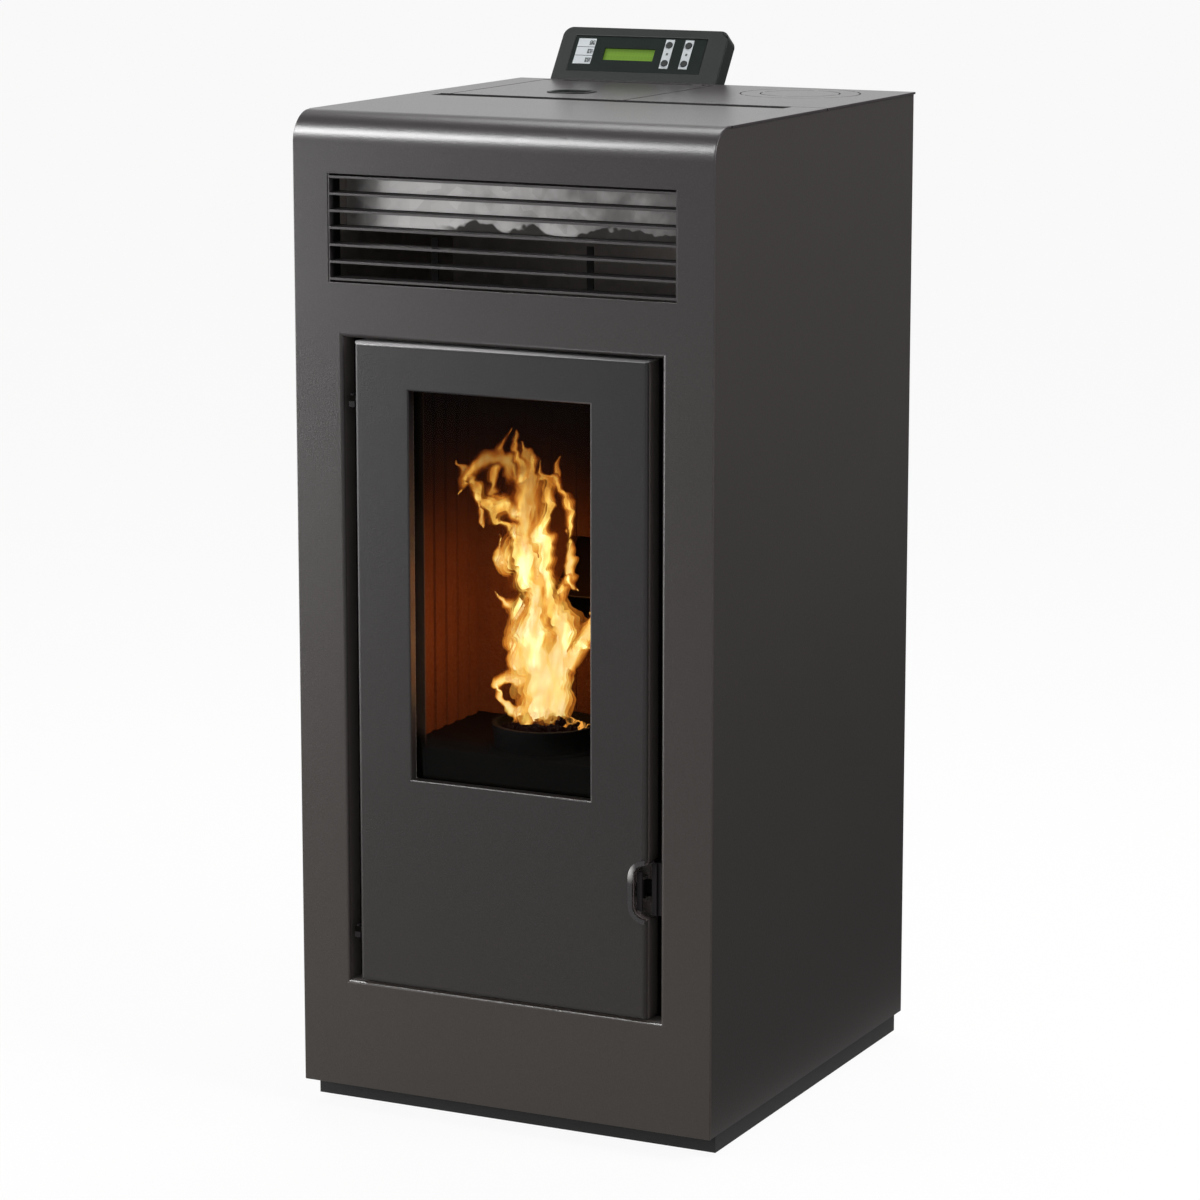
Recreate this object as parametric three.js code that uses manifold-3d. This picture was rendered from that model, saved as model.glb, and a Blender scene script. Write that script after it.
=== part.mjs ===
// A free-standing pellet stove with a glazed fire door, a warm air grille above it, a hopper lid in
// its top and a control panel that leans back over the rear edge.
// Millimetres, +Z up, front facing -Y. The origin is on the floor under the middle of the stove.

import * as THREE from 'three';
import { mergeVertices } from 'three/addons/utils/BufferGeometryUtils.js';
import Module from 'manifold-3d';

const wasm = await Module();
wasm.setup();

// ---------------------------------------------------------------- driving dimensions

const width = 500;
const depth = 540;
const height = 1110;
const sheet = 2.5;
const gap = 0.3;
const bend = 5;
const casingBottom = 28;
const topRound = 35;

const panelLean = THREE.MathUtils.degToRad(35);
const panelWidth = 215;
const panelSlope = 72;
const panelThick = 22;
const panelX = -105.5;
const panelReach = gap + panelSlope * Math.sin(panelLean) + panelThick * Math.cos(panelLean);

const doorProud = 4;
const gripRim = 2.5;
const front = -(depth + panelReach - doorProud - gripRim) / 2;
const rear = front + depth;

const doorOpening = { x: 190, low: 151, high: 869 };
const door = { x: 175, low: 153, high: 866 };
const windowCut = { x: 108.5, low: 388, high: 816 };
const grip = { left: 157.5, low: 262.5, high: 326.5, round: 17 };
const latch = { x: 163.5, y: front + 12, trunnion: 1.5 };
const grille = { x: 207.5, low: 928, high: 1045, slats: 7, pitch: 18.3, slatDeep: 14, uprights: [-85, 100] };
const baffle = { y: front + 44, low: 980, thick: 1.5, shelf: 18 };
const hinge = { x: -180, y: front + 3 };

const topSeam = front + 286;
const lid = { left: -210, right: 5, back: front + 519, deep: 10 };
const lidHinge = { y: lid.back + 3, z: height - 2.5, pin: 1.5, hole: 1.8 };
const lip = { x: width / 2 + 1.5, deep: sheet };
const airSlot = { left: -222, right: 210, wide: 12 };
const knockOut = { x: 143, y: front + 462, outer: 68, inner: 45, slit: 1.6 };

const firebox = { x: 165, front: front + 36.3, back: -40, low: 140, high: 880, wall: 3, floor: 400 };
const pot = { y: -190, rim: 442, foot: 372, flange: 412.6, top: 58, bottom: 40 };
const auger = { y: 150, z: 500, tilt: THREE.MathUtils.degToRad(45), length: 215, tube: 30, bore: 26, flight: 24 };
const intake = { x: 0, z: 340, r: 25, wall: 1.5 };
const exhaust = { x: 120, y: 70, z: 150, scroll: 75, wheel: 60, pipeZ: 190, pipe: 40, wall: 2 };
const roomFan = { left: -170, right: 35, y: 62, z: 78, wheel: 27 };

// ---------------------------------------------------------------- shaping helpers

function solid(geometry) {
  const bare = geometry.index ? geometry.toNonIndexed() : geometry.clone();
  bare.deleteAttribute('normal');
  bare.deleteAttribute('uv');
  const merged = mergeVertices(bare, 1e-4);
  const corners = merged.index.array;
  const kept = [];
  for (let i = 0; i < corners.length; i += 3) {
    const [a, b, c] = [corners[i], corners[i + 1], corners[i + 2]];
    if (a !== b && b !== c && c !== a) kept.push(a, b, c);
  }
  return new wasm.Manifold(new wasm.Mesh({
    numProp: 3,
    vertProperties: new Float32Array(merged.attributes.position.array),
    triVerts: new Uint32Array(kept),
  }));
}

function surface(body) {
  const mesh = body.getMesh();
  const geometry = new THREE.BufferGeometry();
  geometry.setAttribute('position', new THREE.BufferAttribute(new Float32Array(mesh.vertProperties), 3));
  geometry.setIndex(new THREE.BufferAttribute(new Uint32Array(mesh.triVerts), 1));
  geometry.computeVertexNormals();
  return geometry;
}

function block(x0, x1, y0, y1, z0, z1) {
  const geometry = new THREE.BoxGeometry(x1 - x0, y1 - y0, z1 - z0);
  geometry.translate((x0 + x1) / 2, (y0 + y1) / 2, (z0 + z1) / 2);
  return solid(geometry);
}

const turnTo = {
  x: new THREE.Matrix4().makeBasis(
    new THREE.Vector3(0, 1, 0), new THREE.Vector3(0, 0, 1), new THREE.Vector3(1, 0, 0)),
  y: new THREE.Matrix4().makeBasis(
    new THREE.Vector3(0, 0, 1), new THREE.Vector3(1, 0, 0), new THREE.Vector3(0, 1, 0)),
  z: new THREE.Matrix4(),
};

// A rod along one axis. centre holds the two coordinates across it: (y, z), (z, x) or (x, y).
function rod(axis, centre, from, to, r, sides = 20) {
  const geometry = new THREE.CylinderGeometry(r, r, to - from, sides);
  geometry.rotateX(Math.PI / 2);
  geometry.translate(centre[0], centre[1], (from + to) / 2);
  geometry.applyMatrix4(turnTo[axis]);
  return solid(geometry);
}

// A flat outline swept along one axis, drawn in (y, z), (z, x) or (x, y).
function sweep(axis, outline, from, to, curveSegments = 8) {
  const geometry = new THREE.ExtrudeGeometry(outline, { depth: to - from, bevelEnabled: false, curveSegments });
  geometry.translate(0, 0, from);
  geometry.applyMatrix4(turnTo[axis]);
  return solid(geometry);
}

function polygon(points) {
  return new THREE.Shape(points.map(([u, v]) => new THREE.Vector2(u, v)));
}

function roundedOutline(u0, u1, v0, v1, r) {
  const outline = new THREE.Shape();
  outline.moveTo(u0 + r, v0);
  outline.absarc(u1 - r, v0 + r, r, -Math.PI / 2, 0, false);
  outline.absarc(u1 - r, v1 - r, r, 0, Math.PI / 2, false);
  outline.absarc(u0 + r, v1 - r, r, Math.PI / 2, Math.PI, false);
  outline.absarc(u0 + r, v0 + r, r, Math.PI, Math.PI * 1.5, false);
  return outline;
}

// A box with an x-z outline that grows or shrinks from front to back. Each section is [y, growth].
function flared(x0, x1, z0, z1, sections) {
  const rings = sections.map(([y, grow]) => [
    [x0 - grow, y, z0 - grow], [x1 + grow, y, z0 - grow], [x1 + grow, y, z1 + grow], [x0 - grow, y, z1 + grow],
  ]);
  return solid(skin(rings));
}

// A closed skin over a stack of rings with equal numbers of points, capped flat at both ends.
function skin(rings) {
  const count = rings[0].length;
  const triangles = [];
  for (let i = 1; i < count - 1; i++) {
    triangles.push(rings[0][0], rings[0][i], rings[0][i + 1]);
    const last = rings[rings.length - 1];
    triangles.push(last[0], last[i + 1], last[i]);
  }
  for (let ring = 0; ring < rings.length - 1; ring++) {
    for (let i = 0; i < count; i++) {
      const next = (i + 1) % count;
      const [a, b] = [rings[ring][i], rings[ring][next]];
      const [c, d] = [rings[ring + 1][next], rings[ring + 1][i]];
      triangles.push(a, d, c, a, c, b);
    }
  }
  const geometry = new THREE.BufferGeometry();
  geometry.setAttribute('position', new THREE.Float32BufferAttribute(triangles.flat(), 3));
  return geometry;
}

// Sections of a quarter round of radius r that starts at y and turns inwards, for a bent sheet edge.
function quarterRound(y, r, sign, steps = 3) {
  const sections = [];
  for (let step = 0; step <= steps; step++) {
    const angle = (step / steps) * Math.PI / 2;
    sections.push([y + r * (1 - Math.cos(angle)), sign * r * (1 - Math.sin(angle))]);
  }
  return sections;
}

function lathe(points, sides = 24) {
  const geometry = new THREE.LatheGeometry(points.map(([r, z]) => new THREE.Vector2(r, z)), sides);
  geometry.rotateX(Math.PI / 2);
  return solid(geometry);
}

// ---------------------------------------------------------------- materials

function metalFinish(color, roughness, metalness) {
  return new THREE.MeshStandardMaterial({ color, roughness, metalness });
}

const paint = {
  casing: metalFinish(0x4b4648, 0.45, 0.3),
  door: metalFinish(0x3c393b, 0.5, 0.3),
  black: metalFinish(0x1c1b1c, 0.7, 0.2),
  galvanised: metalFinish(0xa9a8a6, 0.4, 0.9),
  castIron: metalFinish(0x262425, 0.8, 0.5),
  steel: metalFinish(0x8f9092, 0.35, 0.9),
  vermiculite: metalFinish(0x6b5238, 0.95, 0),
  glass: new THREE.MeshStandardMaterial({ color: 0x2a1c14, roughness: 0.05, transparent: true, opacity: 0.35 }),
  rope: metalFinish(0x6f6d69, 0.95, 0),
  plastic: metalFinish(0x23282a, 0.45, 0),
  display: metalFinish(0x6f9a2c, 0.3, 0),
  rubber: metalFinish(0x151515, 0.9, 0),
  board: metalFinish(0x1f4a2c, 0.6, 0),
};

const stove = new THREE.Group();

function piece(name, body, material, parent = stove) {
  const mesh = new THREE.Mesh(body.isBufferGeometry ? body : surface(body), material);
  mesh.name = name;
  parent.add(mesh);
  return mesh;
}

// ---------------------------------------------------------------- casing

// The top's narrow overhang above the side panel along one edge.
function sideLip(side, from, to) {
  const inner = width / 2 - 0.4;
  const [x0, x1] = side < 0 ? [-lip.x, -inner] : [inner, lip.x];
  return block(x0, x1, from, to, height - lip.deep, height);
}

// One bent sheet makes the front and the first half of the top, with the large round between them. A
// long notch in its rear edge leaves a slot in front of the lid.
function frontPanel() {
  const bendY = front + topRound;
  const bendZ = height - topRound;
  const outline = new THREE.Shape();
  outline.moveTo(front, casingBottom);
  outline.lineTo(front + sheet, casingBottom);
  outline.lineTo(front + sheet, bendZ);
  outline.absarc(bendY, bendZ, topRound - sheet, Math.PI, Math.PI / 2, true);
  outline.lineTo(topSeam, height - sheet);
  outline.lineTo(topSeam, height);
  outline.lineTo(bendY, height);
  outline.absarc(bendY, bendZ, topRound, Math.PI / 2, Math.PI, false);
  const notch = block(airSlot.left, airSlot.right, topSeam - airSlot.wide, topSeam + 1, height - 10, height + 1);
  const { x, low, high } = doorOpening;
  const jambDeep = 24;
  const jamb = flared(-x - bend, x + bend, low - bend, high + bend, [[front, 0], [front + bend, 0]])
    .add(flared(-x - sheet, x + sheet, low - sheet, high + sheet, [[front + 1, 0], [front + jambDeep, 0]]));
  const mouth = flared(-x, x, low, high, [...quarterRound(front, bend, 1), [front + jambDeep + 1, 0]])
    .add(flared(-x - bend, x + bend, low - bend, high + bend, [[front - 1, 0], [front + 0.01, 0]]));
  const returns = [-1, 1].map((side) => block(
    Math.min(side * 244.6, side * 247), Math.max(side * 244.6, side * 247),
    front + sheet - 1, front + 20, casingBottom, bendZ - 20));
  return sweep('x', outline, -width / 2, width / 2, 10)
    .add(sideLip(-1, bendY + 5, topSeam))
    .add(sideLip(1, bendY + 5, topSeam))
    .add(returns[0])
    .add(returns[1])
    .add(jamb)
    .subtract(mouth)
    .subtract(notch)
    .subtract(block(-grille.x, grille.x, front - 1, front + bend, grille.low, grille.high));
}

// The side panels stand just inside the bent sheet's edges and follow its round.
function sidePanel(side) {
  const bendY = front + topRound;
  const bendZ = height - topRound;
  const inset = sheet + gap;
  const outline = new THREE.Shape();
  outline.moveTo(front + inset, casingBottom);
  outline.lineTo(rear, casingBottom);
  outline.lineTo(rear, height - inset);
  outline.lineTo(bendY, height - inset);
  outline.absarc(bendY, bendZ, topRound - inset, Math.PI / 2, Math.PI, false);
  const [inner, outer] = [247.3, 249.3];
  return side < 0 ? sweep('x', outline, -outer, -inner) : sweep('x', outline, inner, outer);
}

function ringSlit(r, tabs, turn) {
  const ring = rod('z', [knockOut.x, knockOut.y], height - 10, height + 10, r + knockOut.slit / 2, 28)
    .subtract(rod('z', [knockOut.x, knockOut.y], height - 11, height + 11, r - knockOut.slit / 2, 28));
  let bridges = null;
  for (let tab = 0; tab < tabs; tab++) {
    const angle = turn + (tab * 2 * Math.PI) / tabs;
    const bridge = new THREE.BoxGeometry(10, 5, 30);
    bridge.translate(r, 0, height);
    bridge.rotateZ(angle);
    bridge.translate(knockOut.x, knockOut.y, 0);
    bridges = bridges ? bridges.add(solid(bridge)) : solid(bridge);
  }
  return ring.subtract(bridges);
}

// The rear half of the top, with the lid's opening, the two slit rings of the flue knock-out, a
// folded lip at each side, and two ears under the lid's rear edge that hold the lid's hinge pin.
function topPlate() {
  const lidGap = 2.5;
  const railLow = height - sheet - 12;
  const plate = block(-width / 2, width / 2, topSeam + sheet, rear, height - sheet, height);
  const opening = block(lid.left - lidGap, lid.right + lidGap, topSeam, lidHinge.y + 3.5, height - 20, height + 1);
  let body = plate.subtract(opening)
    .add(sideLip(-1, topSeam + sheet, rear))
    .add(sideLip(1, topSeam + sheet, rear))
    .add(block(lid.left - 14, lid.right + 14, topSeam + sheet, topSeam + 22, railLow, railLow + 2))
    .add(block(lid.left - 14, lid.left - lidGap - 1, topSeam + sheet, topSeam + 22, railLow, height - 1))
    .add(block(lid.right + lidGap + 1, lid.right + 14, topSeam + sheet, topSeam + 22, railLow, height - 1));
  for (const x of [lid.left + 6, lid.right - 9]) {
    body = body.add(block(x, x + 3, lidHinge.y - 1.8, lidHinge.y + 10, height - 12, height - 0.2))
      .add(rod('x', [lidHinge.y, lidHinge.z], lid.left + 6, lid.right - 6, lidHinge.pin, 10));
  }
  return body
    .subtract(ringSlit(knockOut.outer, 4, Math.PI / 4))
    .subtract(ringSlit(knockOut.inner, 4, 0));
}

function backPanel() {
  const thick = 1.5;
  let body = block(-247, 247, rear - thick - 0.5, rear - 0.5, casingBottom, height - sheet - gap)
    .subtract(rod('y', [exhaust.pipeZ, exhaust.x], rear - 10, rear + 10, exhaust.pipe + 3, 32))
    .subtract(rod('y', [intake.z, intake.x], rear - 10, rear + 10, intake.r + 2, 24))
    .subtract(block(-206, -134, rear - 10, rear + 10, 82, 118));
  for (let row = 0; row < 6; row++) {
    const z = 640 + row * 34;
    body = body.subtract(block(-120, 120, rear - 10, rear + 10, z, z + 5));
  }
  return body;
}

// A folded pan: the stove's floor, with a set-back skirt that hides the feet.
function basePan() {
  const top = casingBottom - gap;
  return block(-245, 245, front + 25, rear - 10, 6, top)
    .subtract(block(-242.5, 242.5, front + 27.5, rear - 12.5, 5, top - sheet));
}

function levellingFoot() {
  return lathe([[0, 0], [18, 0], [18, 4], [6, 6], [5, 6], [5, 24], [0, 24]], 12);
}

piece('front_panel', frontPanel(), paint.casing);
piece('left_side_panel', sidePanel(-1), paint.casing);
piece('right_side_panel', sidePanel(1), paint.casing);
piece('top_plate', topPlate(), paint.casing);
piece('back_panel', backPanel(), paint.black);
piece('base_pan', basePan(), paint.black);

const footSpots = [[-200, front + 85], [200, front + 85], [-200, rear - 60], [200, rear - 60]];
footSpots.forEach(([x, y], index) => {
  const foot = piece(`levelling_foot_${index + 1}`, levellingFoot(), paint.rubber);
  foot.position.set(x, y, 0);
});

// ---------------------------------------------------------------- warm air outlet

// Slats with a slight rise to the rear, joined by a cheek at each end and two short uprights behind.
function airGrille() {
  const face = front + 0.8;
  const slatBack = face + grille.slatDeep;
  const lowest = grille.low + 3.5;
  const reach = grille.x - gap;
  const [bottom, top] = [grille.low + gap, grille.high - gap];
  let body = block(-reach, -reach + 1.5, face, front + 24, bottom, top)
    .add(block(reach - 1.5, reach, face, front + 24, bottom, top));
  for (const x of grille.uprights) {
    body = body.add(block(x - 4, x + 4, slatBack - gap, slatBack + 1.2, bottom, baffle.low));
  }
  for (let slat = 0; slat < grille.slats; slat++) {
    const z = lowest + slat * grille.pitch;
    const outline = polygon([[face, z - 1.2], [slatBack, z + 1.4], [slatBack, z + 2.8], [face, z + 1.3]]);
    body = body.add(sweep('x', outline, -reach + 0.5, reach - 0.5));
  }
  return body;
}

const duct = { x: 210.5, front: front + 3, back: -8, low: 884, high: 1053, wall: 1.5 };
const riser = { left: -160, right: -40, front: firebox.back + gap, back: -10 };

function airDuct() {
  const { x, front: near, back, low, high, wall } = duct;
  return block(-x, x, near, back, low, high)
    .subtract(block(wall - x, x - wall, near - 1, back - wall, low + wall, high - wall))
    .subtract(block(riser.left + 2, riser.right - 2, riser.front + 2, riser.back - 2, low - 1, low + 2));
}

// A hanging plate behind the grille's upper half, folded to the rear along its foot.
function airBaffle() {
  const { y, low, thick, shelf } = baffle;
  const x = duct.x - duct.wall - gap;
  const top = duct.high - duct.wall - gap;
  return block(-x, x, y, y + thick, low, top).add(block(-x, x, y + 1, y + shelf, low, low + thick));
}

piece('air_grille', airGrille(), paint.casing);
piece('air_duct', airDuct(), paint.black);
piece('air_baffle', airBaffle(), paint.galvanised);

// ---------------------------------------------------------------- fire door

const doorFace = front - doorProud;
const panFace = { low: doorFace + sheet, back: front + 26 };
const lugs = [207.3, 800.3];
const lugThick = 6;
const pin = { r: 2.5, hole: 2.8 };
const glass = { x: 125, low: 371.5, high: 832.5, y: front + 9.6, thick: 4 };
const clampTape = { thick: 2, wide: 14, inset: 2 };
const rope = { x: 160, low: 161, high: 862, wide: 11, near: front + 22.8, far: front + 36 };
const firePorts = { x: 148, low: 172, mid: 385, high: 850 };

// The grip's outline in (z, x): a straight inner side with two rounded corners, open at the door's edge.
function gripOutline(grow) {
  const edge = door.x + 6;
  const r = grip.round + grow;
  const outline = new THREE.Shape();
  outline.moveTo(grip.low - grow, edge);
  outline.lineTo(grip.low - grow, grip.left + grip.round);
  outline.absarc(grip.low + grip.round, grip.left + grip.round, r, Math.PI, Math.PI * 1.5, false);
  outline.absarc(grip.high - grip.round, grip.left + grip.round, r, Math.PI * 1.5, Math.PI * 2, false);
  outline.lineTo(grip.high + grow, edge);
  return outline;
}

// The outer pan: a rounded folded edge all round, the window's inward flange and two hinge lugs.
function doorPan() {
  const { x, low, high } = door;
  const outer = flared(-x, x, low, high, [...quarterRound(doorFace, bend, -1), [panFace.back, 0]]);
  const hollow = block(sheet - x, x - sheet, panFace.low, panFace.back + 1, low + sheet, high - sheet);
  const w = windowCut;
  const flangeBack = front + 7;
  const flange = block(-w.x - sheet, w.x + sheet, doorFace + 1, flangeBack, w.low - sheet, w.high + sheet);
  const mouth = flared(-w.x, w.x, w.low, w.high, [[doorFace - 1, 2], [doorFace, 2],
    ...quarterRound(doorFace + 0.01, 2, 1), [flangeBack + 1, 0]]);
  let body = outer.subtract(hollow).add(flange).subtract(mouth)
    .subtract(sweep('y', gripOutline(0), doorFace - 5, panFace.back + 5, 6));
  for (const z of lugs) {
    body = body.add(block(hinge.x - 3.5, -x + 2, hinge.y - 3.5, hinge.y + 3.5, z, z + lugThick))
      .subtract(rod('z', [hinge.x, hinge.y], z - 1, z + lugThick + 1, pin.hole, 12));
  }
  return body;
}

function doorInnerFrame() {
  const x = door.x - sheet - gap;
  const plate = block(-x, x, front + 20, front + 22.5, door.low + sheet + gap, door.high - sheet - gap);
  const opening = block(-104, 104, front + 18, front + 24, windowCut.low + 4, windowCut.high - 4);
  return plate.subtract(opening).subtract(block(150, x + 1, front + 18, front + 24, grip.low - 8, grip.high + 8));
}

function frame(halfX, low, high, inset, y0, y1) {
  return block(-halfX, halfX, y0, y1, low, high)
    .subtract(block(inset - halfX, halfX - inset, y0 - 1, y1 + 1, low + inset, high - inset));
}

// A flat tape between the glass and the window's inward flange.
function glassGasket() {
  const { thick, wide, inset } = clampTape;
  const back = glass.y - gap;
  return frame(glass.x - inset, glass.low + inset, glass.high - inset, wide, back - thick, back);
}

// A clamping frame behind the glass, with a foot each side that stands on the pan.
function glassClamp() {
  const reach = glass.x + 11;
  const near = glass.y + glass.thick + gap;
  const { low, high } = windowCut;
  const bars = frame(reach, low - 22, high + 22, 20, near, near + 2.1);
  const feet = [-reach, reach - 9].map((x) => block(x, x + 9, panFace.low + gap, near + 0.1, low + 40, high - 40));
  return bars.add(feet[0]).add(feet[1]);
}

function gripCup() {
  const clip = block(grip.left - 10, door.x - gap, doorFace - 5, front + 30, grip.low - 10, grip.high + 10);
  const cup = sweep('y', gripOutline(-gap), doorFace - gripRim, front + 19, 6)
    .add(sweep('y', gripOutline(3), doorFace - gripRim, doorFace - gap, 6));
  const cavity = sweep('y', gripOutline(-2.2), doorFace - 5, front + 17, 6);
  const slot = block(160.5, 174, front + 16, front + 20, 285, 304);
  return cup.intersect(clip).subtract(cavity).subtract(slot)
    .add(block(grip.left + 1, 168, front + 9, front + 17.5, 281, 284))
    .add(block(grip.left + 1, 168, front + 9, front + 17.5, 305, 308))
    .subtract(rod('z', [latch.x, latch.y], 280, 309, latch.trunnion + gap, 10));
}

// A pull bar in the grip cup, a web through the cup's floor and a nose that reaches for the keeper.
function latchLever() {
  return block(163, 169, front - 1.5, front + 1.5, 273, 316)
    .add(block(162, 165, front + 1, front + 24.5, 287, 302))
    .add(block(162, 177, front + 21, front + 24.5, 287, 302))
    .add(rod('z', [latch.x, latch.y], 284.5, 304.5, 3, 12))
    .add(rod('z', [latch.x, latch.y], 281, 308, latch.trunnion, 10));
}

function latchKeeper() {
  return block(178.5, 184, front + 4, front + 7, 268, 326).add(block(182, 189.7, front + 6, front + 14, 268, 326));
}

// A bracket on the opening's left jamb, with the pin that the door's lug turns on welded into it.
function hingeBracket(z) {
  return block(hinge.x - 3.5, hinge.x + 3.5, hinge.y - 3.5, hinge.y + 15, z, z + lugThick)
    .add(block(-doorOpening.x + gap, hinge.x + 3.5, hinge.y + 8, hinge.y + 15, z, z + lugThick))
    .add(rod('z', [hinge.x, hinge.y], z - 1, z + 2 * lugThick + 2, pin.r, 12));
}

const doorGroup = new THREE.Group();
stove.add(doorGroup);
piece('door_pan', doorPan(), paint.door, doorGroup);
piece('door_inner_frame', doorInnerFrame(), paint.black, doorGroup);
piece('glass_gasket', glassGasket(), paint.rope, doorGroup);
piece('door_glass', block(-glass.x, glass.x, glass.y, glass.y + glass.thick, glass.low, glass.high),
  paint.glass, doorGroup);
piece('glass_clamp', glassClamp(), paint.steel, doorGroup);
piece('door_rope_seal', frame(rope.x, rope.low, rope.high, rope.wide, rope.near, rope.far), paint.rope, doorGroup);
piece('grip_cup', gripCup(), paint.door, doorGroup);
piece('latch_lever', latchLever(), paint.steel, doorGroup);
piece('latch_keeper', latchKeeper(), paint.steel);
lugs.forEach((z, index) => {
  const place = ['lower', 'upper'][index];
  piece(`hinge_bracket_${place}`, hingeBracket(z - lugThick - gap), paint.steel);
});

// ---------------------------------------------------------------- firebox

const chuteHole = { x: 35, low: 546, high: 626 };
const chamber = { low: 412.6, high: 840 };

// A welded box with a fire chamber over an ash chamber, open to the door, with ports in its back.
function fireboxBody() {
  const { x, front: near, back, low, high, wall, floor } = firebox;
  let body = block(-x, x, near, back, low, high)
    .subtract(block(wall - x, x - wall, near + wall, back - wall, floor + wall, high - wall))
    .subtract(block(wall - x, x - wall, near + wall, back - wall, low + wall, floor))
    .subtract(block(-firePorts.x, firePorts.x, near - 1, near + 5, floor + wall + 12, firePorts.high))
    .subtract(block(-firePorts.x, firePorts.x, near - 1, near + 5, firePorts.low, firePorts.mid))
    .subtract(block(-chuteHole.x, chuteHole.x, back - 5, back + 5, chuteHole.low, chuteHole.high))
    .subtract(block(47, 80, back - 5, back + 5, 852, 874))
    .subtract(rod('z', [0, pot.y], floor - 2, floor + 5, 56, 32))
    .subtract(rod('y', [intake.z, intake.x], back - 5, back + 5, 23, 20))
    .subtract(rod('y', [392, 0], back - 5, back + 5, 6, 12));
  for (const rail of [-115, 105]) {
    body = body.add(block(rail, rail + 10, near + 8, back - 20, low + 1, 172));
  }
  return body;
}

function ribbedLiner(side) {
  const outer = side * (firebox.x - firebox.wall - gap);
  const inner = side * 151.7;
  const tip = side * 148.7;
  const from = firebox.front + 8;
  const to = -62.3;
  let body = block(Math.min(outer, inner), Math.max(outer, inner), from, to, chamber.low, chamber.high);
  for (let y = from + 4; y < to - 16; y += 27) {
    body = body.add(block(Math.min(inner + side, tip), Math.max(inner + side, tip), y, y + 15, chamber.low,
      chamber.high));
  }
  return body;
}

function backLiner() {
  const x = 161.5;
  let body = block(-x, x, -60, firebox.back - firebox.wall - gap, chamber.low, chamber.high);
  for (let left = -138; left < 130; left += 31) {
    body = body.add(block(left, left + 18, -62, -59, chamber.low, chamber.high));
  }
  return body.subtract(block(-chuteHole.x, chuteHole.x, -70, -40, chuteHole.low, chuteHole.high));
}

// The plate that the burn pot hangs in covers the chamber floor.
function potCradle() {
  return block(-161.5, 161.5, firebox.front + 3.5, firebox.back - firebox.wall - gap, 403.3, 412.3)
    .subtract(rod('z', [0, pot.y], 400, 420, 53, 32));
}

function burnPot() {
  const { foot, flange, rim, top, bottom } = pot;
  let cup = lathe([[0, foot], [bottom, foot], [49, flange], [62, flange], [62, flange + 4], [57, flange + 4],
    [top + 2, rim], [top - 3, rim], [46, flange], [bottom - 4, foot + 6], [0, foot + 6]], 32);
  for (let hole = 0; hole < 6; hole++) {
    const angle = (hole * Math.PI) / 3;
    cup = cup.subtract(rod('z', [22 * Math.cos(angle), 22 * Math.sin(angle)], pot.foot - 1, pot.foot + 8, 3, 6));
  }
  return cup;
}

function ashPan() {
  const near = firebox.front + 10;
  const far = firebox.back - 22;
  return block(-132, 132, near, far, 172.4, 300)
    .subtract(block(-130, 130, near + 2, far - 2, 174.4, 301))
    .add(block(-45, 45, near - 6, near + 1, 276, 279))
    .add(block(-45, 45, near - 6, near - 4, 266, 279));
}

// ---------------------------------------------------------------- pellet feed

const hopperForm = { left: -222, right: 38, front: 0, back: 232, high: 1094, shoulder: 780, low: 545 };

function hopperRings(inset) {
  const h = hopperForm;
  const ring = (x0, x1, y0, y1, z) => [[x0, y0, z], [x0, y1, z], [x1, y1, z], [x1, y0, z]];
  return [
    ring(inset - 26, 26 - inset, 62 + inset, 128 - inset, h.low - inset),
    ring(h.left + inset, h.right - inset, h.front + inset, h.back - inset, h.shoulder),
    ring(h.left + inset, h.right - inset, h.front + inset, h.back - inset, h.high + inset),
  ];
}

// A rod along the auger's own axis, in the stove's frame.
function augerRod(r, from, to) {
  const geometry = new THREE.CylinderGeometry(r, r, to - from, 24);
  geometry.rotateX(Math.PI / 2);
  geometry.translate(0, 0, (from + to) / 2);
  geometry.rotateX(auger.tilt);
  geometry.translate(0, auger.y, auger.z);
  return solid(geometry);
}

function hopper() {
  return solid(skin(hopperRings(0)))
    .subtract(solid(skin(hopperRings(1.5))))
    .subtract(augerRod(auger.tube + gap, -20, auger.length + 30));
}

// The tube is cut open under the hopper and again over the chute, a sloping trough that is welded to
// its upper end and passes through the firebox's back.
function augerTube() {
  const outer = polygon([[30, 648], [30, 592], [-105, 528.6], [-105, 567], [-36, 626], [-36, 648]]);
  const inner = polygon([[28, 660], [28, 593.5], [-110, 528.7], [-110, 561.5], [-34, 624.5], [-34, 660]]);
  return sweep('x', outer, -34, 34)
    .subtract(sweep('x', inner, -32, 32))
    .add(augerRod(auger.tube, 0, auger.length))
    .subtract(augerRod(auger.bore, -1, auger.length + 1))
    .subtract(block(-24, 24, 70, 126, 560, 640))
    .subtract(block(-22, 22, -22, 22, 600, 632));
}

// A round shaft with a right-handed flight of flat section wound round it.
function augerScrew() {
  const pitch = 40;
  const steps = 10;
  const turns = 4.8;
  const half = 1.5;
  const rings = [];
  for (let step = 0; step <= turns * steps; step++) {
    const angle = (step / steps) * 2 * Math.PI;
    const z = 8 + (step / steps) * pitch;
    const at = (r, level) => [r * Math.cos(angle), r * Math.sin(angle), level];
    rings.push([at(5, z - half), at(auger.flight, z - half), at(auger.flight, z + half), at(5, z + half)]);
  }
  return rod('z', [0, 0], -14, 206, 6, 10).add(solid(skin(rings)));
}

function augerMotor() {
  return block(-32, 32, -28, 28, -8, -gap)
    .add(block(-27, 27, -25, 25, -40, -7))
    .add(rod('z', [0, 0], -72, -39, 23, 20))
    .subtract(rod('z', [0, 0], -20, 1, 6.3, 16));
}

// ---------------------------------------------------------------- smoke and air paths

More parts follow.
